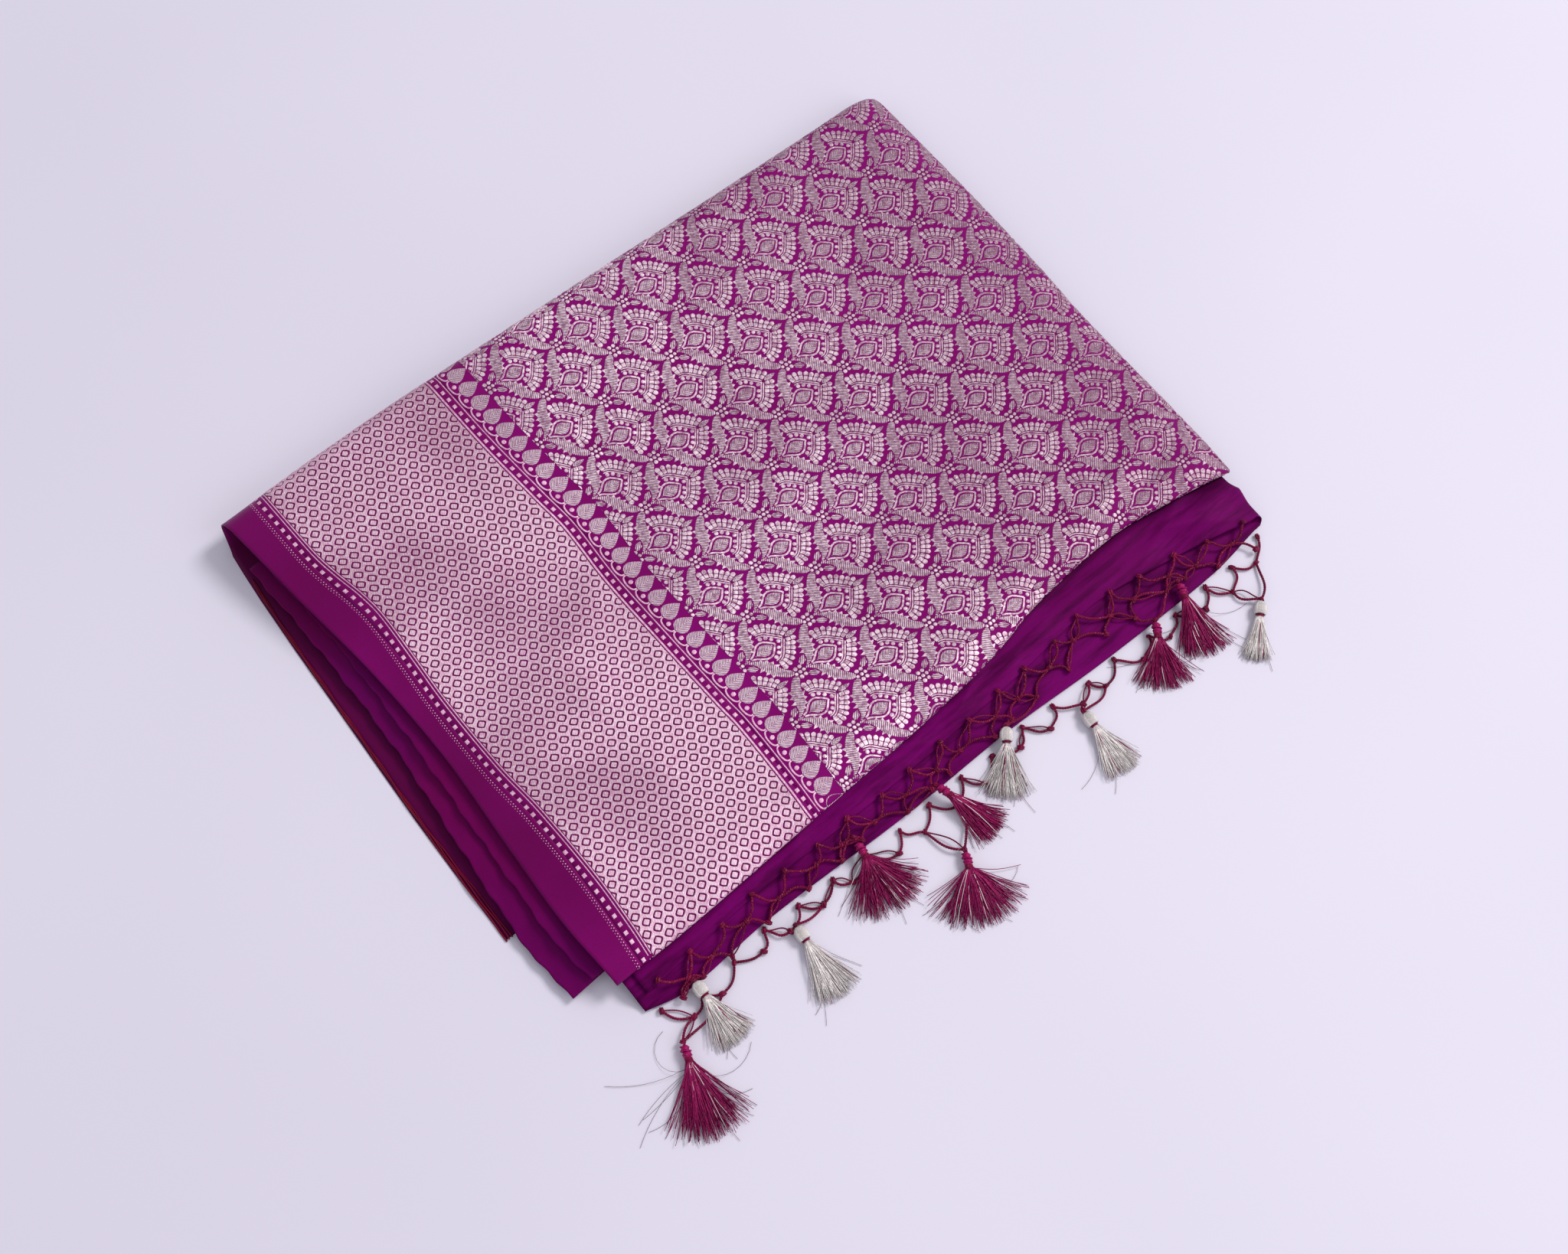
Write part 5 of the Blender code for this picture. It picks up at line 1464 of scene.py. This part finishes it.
def cord_path(start, stop, bow, wiggle, level, height):
    """A slack cord between two knots, laid on what is under it."""
    span = stop - start
    length = np.linalg.norm(span)
    side = np.array((-span[1], span[0])) / length
    path = []
    for step in range(13):
        share = step / 12
        out = bow * math.sin(math.pi * share) + wiggle * math.sin(2 * math.pi * share)
        place = start + span * share + side * out
        z = max(mix(level[0], level[1], share), height(*place) - 0.5)
        path.append((place[0], place[1], z))
    return path


def net_piece(name, node_name, net, hem_line, specs, lies_on, seed):
    """A net of two-ply cords, some with a thinner one beside them, and its wrapped knots."""
    chance = np.random.default_rng(seed)
    knots, cords = net_graph(net, hem_line, [knot_of(spec) for spec in specs])
    threads = Threads()

    def height(x, y):
        return lies_on(x, y) + CLEARANCE + NET_CORD_HALF_HEIGHT

    level = [height(x, y) for x, y in knots]
    for number, (a, b) in enumerate(cords):
        start, stop = np.array(knots[a]), np.array(knots[b])
        length = np.linalg.norm(stop - start)
        bow = (1.0 if number % 2 else -1.0) * length * chance.uniform(0.08, 0.20)
        bow = max(-MOST_BOW, min(MOST_BOW, bow))
        wiggle = chance.uniform(-1.0, 1.0) * min(length * 0.06, 1.0)
        ends = (level[a], level[b])
        path = cord_path(start, stop, bow, wiggle, ends, height)
        threads.ply(path, CORD_RADIUS, chance.uniform(0, 6.28))
        if chance.uniform() < 0.45:
            beside = cord_path(start, stop, -bow * chance.uniform(0.2, 0.9), -wiggle, ends, height)
            threads.ply(beside, THIN_CORD_RADIUS, chance.uniform(0, 6.28), pitch=2.6)
    for (x, y), z in zip(knots, level):
        turn = chance.uniform(0, 3.14)
        size = chance.uniform(1.0, 1.35)
        threads.ball((x, y, z), (1.9 * size, 1.55 * size, 1.4), turn)
        for lap in (-0.55, 0.55):

            def wrapping(lean, lap=lap):
                out, on = 1.75 * size * math.cos(lean), lap * size + 0.4 * math.sin(lean)
                return (x + out * math.cos(turn) - on * math.sin(turn),
                        y + out * math.sin(turn) + on * math.cos(turn), z + 1.45 * math.sin(lean))

            threads.tube(round_about(14, wrapping), 0.42, sides=5)
    piece = threads.piece(name, MAROON_CORD)
    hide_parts(node_name)
    return knots, cords


def tassel_head(spec, root, turn):
    """A bundle of silver threads round a ball, or two maroon knots with three laps of cord."""
    forward, aside = ahead_of(turn), aside_of(turn)
    head = Threads()
    if spec["tone"] == "silver":
        for strand in range(36):
            lon = 2 * math.pi * strand / 36
            path = []
            for step in range(11):
                share = step / 10
                wide = 1.7 + 2.5 * (1.0 - abs(1.7 * share - 1.0) ** 3.0)
                centre = root + forward * (share * 9.4)
                centre[2] = mix(spec["z"], spec["z"] * 0.93, share)
                side, rise = aside * wide * math.cos(lon), UP * wide * 0.80 * math.sin(lon)
                path.append(centre + side + rise)
            head.tube(path, 0.48, sides=4)
        head.ball(root + forward * 4.7, (4.2, 3.4, 2.7), turn)
        return head
    head.ball(root + forward * 2.4, (2.7, 2.9, 2.6), turn)
    head.ball(root + forward * 6.3, (3.0, 3.1, 2.6), turn + 0.6)
    for lap, wide in enumerate((2.5, 3.1, 2.7)):

        def lap_place(lean, lap=lap, wide=wide):
            centre = root + forward * (1.4 + 2.6 * lap + 0.8 * math.cos(lean))
            return centre + aside * wide * math.cos(lean) + UP * wide * 0.86 * math.sin(lean)

        head.tube(round_about(16, lap_place), 0.55, sides=5)
    return head


def fan_strands(spec, neck, turn, reach, spread, chance):
    """The tassel's strands, and those among them of the other tone."""
    tone, aside = TONES[spec["tone"]], aside_of(turn)
    threads, others = Threads(), Threads()
    for _ in range(STRANDS):
        way = turn + spread * (chance.uniform(-0.5, 0.5) + 0.12 * chance.standard_normal())
        out, beside = ahead_of(way), aside_of(way)
        lon = chance.uniform(0, 2 * math.pi)
        rise = chance.uniform(0.0, 1.0)
        begin = neck + aside * (1.7 * math.cos(lon)) + UP * (1.5 * math.sin(lon))
        length = reach * chance.uniform(*tone["lengths"])
        bend = chance.normal(0.0, tone["bend"]) * length
        wave = chance.uniform(0.1, 0.6)
        phase = chance.uniform(0, 6.28)
        settle = chance.uniform(0.8, 1.4)
        path = []
        for step in range(8):
            share = step / 7
            swing = bend * share ** 2 + wave * math.sin(phase + 5 * share) * share
            place = begin + out * length * share + beside * swing
            under = cloth_under(place[0], place[1])
            low = 0.45 + 4.0 * rise * (1.0 - 0.35 * share)
            if under > 0:
                low = under + 0.5 + 2.5 * rise
            place[2] = max(mix(begin[2], low, float(ease(share * settle * 1.2))), under + 0.4)
            path.append(place)
        other = chance.uniform() < tone["odd"]
        (others if other else threads).tube(path, np.linspace(0.36, 0.22, 8))
    for strand in range(THICK_STRANDS):
        fan = strand / (THICK_STRANDS - 1) - 0.5
        out = ahead_of(turn + spread * fan * 0.85)
        begin = neck + aside * 1.4 * fan * 2
        length = reach * (0.80 + 0.1 * math.sin(strand * 2.3))
        path = []
        for step in range(6):
            share = step / 5
            place = begin + out * length * share
            under = cloth_under(place[0], place[1])
            low = under + 1.2 if under > 0 else 1.9
            place[2] = max(mix(begin[2], low, float(ease(share * 1.3))), under + 1.0)
            path.append(place)
        threads.tube(path, np.array((1.1, 1.4, 1.35, 1.1, 0.8, 0.25)), sides=5)
    return threads, others


def loose_hairs(spec, neck, turn, reach, spread, chance):
    """A few stray threads; the last tassel's are more, and curly."""
    curly = spec is TASSELS[-1]
    stray = Threads()
    for _ in range(10 if curly else TONES[spec["tone"]]["strays"]):
        fan = chance.uniform(-1.6, 0.9) if curly else chance.uniform(-0.8, 0.8)
        heading = turn + spread * fan
        bend = chance.uniform(-1.1, 0.7) if curly else chance.normal(0.0, 0.35)
        place = neck + ahead_of(turn) * chance.uniform(-1.0, 6.0)
        place[2] = max(place[2], 2.0)
        path = [place.copy()]
        length = reach * chance.uniform(0.9, 1.25)
        for step in range(9):
            heading += bend * 0.35
            place = place + ahead_of(heading) * length / 9
            under = cloth_under(place[0], place[1])
            place[2] = max(mix(path[0][2], 0.5, float(ease((step + 1) / 6))), under + 0.5)
            path.append(place.copy())
        stray.tube(path, 0.13)
    return stray


def tassel_piece(spec, start, seed):
    """A tassel: head, tie, strands, strands of the other tone, and loose hairs."""
    chance = np.random.default_rng(seed)
    turn = math.radians(spec["heading"])
    forward, aside = ahead_of(turn), aside_of(turn)
    root = np.array((spec["x"], spec["y"], spec["z"])) + forward * start
    neck = root + forward * TASSEL_HEAD_LENGTH
    neck[2] = spec["z"] * 0.92
    tone = TONES[spec["tone"]]
    tie = Threads()
    for lap in range(tone["laps"]):

        def tie_place(lean, lap=lap):
            centre = neck + forward * (-0.2 + 0.75 * lap - tone["tie_back"])
            return centre + aside * 2.35 * math.cos(lean) + UP * 2.1 * math.sin(lean)

        tie.tube(round_about(18, tie_place), 0.42, sides=5)
    reach = (spec["length"] - TASSEL_HEAD_LENGTH) * 1.05
    spread = math.radians(spec["spread"]) * tone["fan"]
    threads, others = fan_strands(spec, neck, turn, reach, spread, chance)
    stray = loose_hairs(spec, neck, turn, reach, spread, chance)
    body = threads.piece(spec["name"] + "_strands", tone["threads"])
    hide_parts(spec["name"])
    for part, suffix, material, part_slot in (
        (tassel_head(spec, root, turn), "_head", tone["threads"], tone["slot"]),
        (tie, "_tie", MAROON_CORD, "maroon_cord"),
        (others, "_odd_strands", tone["odd_threads"], tone["slot"]),
        (stray, "_loose_hairs", DARK_THREADS, "maroon_cord"),
    ):
        made = part.piece(spec["name"] + suffix, material)


def fringe():
    """The two nets, each with its tassels, on the hems of the end piece."""
    upper = [spec for spec in TASSELS if spec["net"] == "upper"]
    lower = [spec for spec in TASSELS if spec["net"] == "lower"]

    def on_end_piece(x, y):
        lowest = max(cloth_around(x, y), UPPER_NET_LOWEST - NET_CORD_HALF_HEIGHT)
        return raised_to_roots(lowest, x, y, upper)

    def on_table(x, y):
        return raised_to_roots(0.0, x, y, lower)

    outside = tuple((x, y - OUTSIDE_HEM) for x, y in LOWER_HEM_LINE)
    for seed, (name, node_name, net, hem_line, specs, lies_on) in enumerate((
        ("upper_knotted_net", "net_upper", UPPER_NET, UPPER_HEM_LINE, upper, on_end_piece),
        ("lower_knotted_net", "net_lower", LOWER_NET, outside, lower, on_table),
    )):
        knots, cords = net_piece(name, node_name, net, hem_line, specs, lies_on, seed + 3)
        for index, spec in enumerate(specs):
            tassel_piece(spec, head_start(spec, knots, cords), 20 + 10 * seed + index)


fringe()


# Floor, light and camera

def stage():
    """A pale floor, a soft key light and fill, and the light of the room."""
    mesh = bpy.data.meshes.new("floor")
    half, low = 4.0, -0.0003
    places = [(-half, -half, low), (half, -half, low), (half, half, low), (-half, half, low)]
    mesh.from_pydata(places, [], [(0, 1, 2, 3)])
    material, tree, shader, coordinates = start_material("pale_floor", 0.85, specular=0.2)
    broad = noise(tree, coordinates.outputs["Object"], 1.6, 2.0)
    broad = remap(tree, broad, 0.35, 0.65)
    tone = mix_colour(tree, broad, (0.70, 0.665, 0.77), (0.735, 0.70, 0.80))
    tree.links.new(tone, shader.inputs["Base Color"])
    mesh.materials.append(material)
    floor = bpy.data.objects.new("floor", mesh)
    bpy.context.scene.collection.objects.link(floor)

    def area(name, place, aim, size, energy, colour):
        data = bpy.data.lights.new(name, "AREA")
        data.shape = "DISK"
        data.size = size
        data.energy = energy
        data.color = colour
        lamp = bpy.data.objects.new(name, data)
        lamp.location = place
        lamp.rotation_euler = (Vector(aim) - Vector(place)).to_track_quat("-Z", "Y").to_euler()
        bpy.context.scene.collection.objects.link(lamp)

    area("key", (4.34, -0.78, 4.6), (0.0, 0.0, 0.0), 2.2, 246.0, (1.0, 0.98, 0.98))
    area("fill", (0.75, -2.2, 1.7), (0.1, -0.2, 0.0), 1.8, 17.0, (0.97, 0.96, 1.0))
    world = bpy.data.worlds.new("soft_room")
    bpy.context.scene.world = world
    world.use_nodes = True
    background = world.node_tree.nodes["Background"]
    background.inputs[0].default_value = (0.93, 0.93, 1.0, 1.0)
    background.inputs[1].default_value = 0.56


def camera():
    """The camera at the photo's angle, as fitted to the long edges of the folded cloth."""
    right = Vector((0.7648, -0.6436, -0.0303))
    down = Vector((-0.6003, -0.6946, -0.3965))
    ahead = Vector((0.2341, 0.3214, -0.9175))
    place = (Vector((-322.6, -442.2, 1154.0)) - Vector((CENTRE[0], CENTRE[1], 0.0))) * MM
    data = bpy.data.cameras.new("camera")
    data.lens = 42.19
    data.sensor_width = 36.0
    made = bpy.data.objects.new("camera", data)
    rows = [(right[i], -down[i], -ahead[i], place[i]) for i in range(3)]
    made.matrix_world = Matrix((*rows, (0.0, 0.0, 0.0, 1.0)))
    bpy.context.scene.collection.objects.link(made)
    bpy.context.scene.camera = made


stage()
camera()
bpy.context.scene.view_settings.view_transform = "Standard"
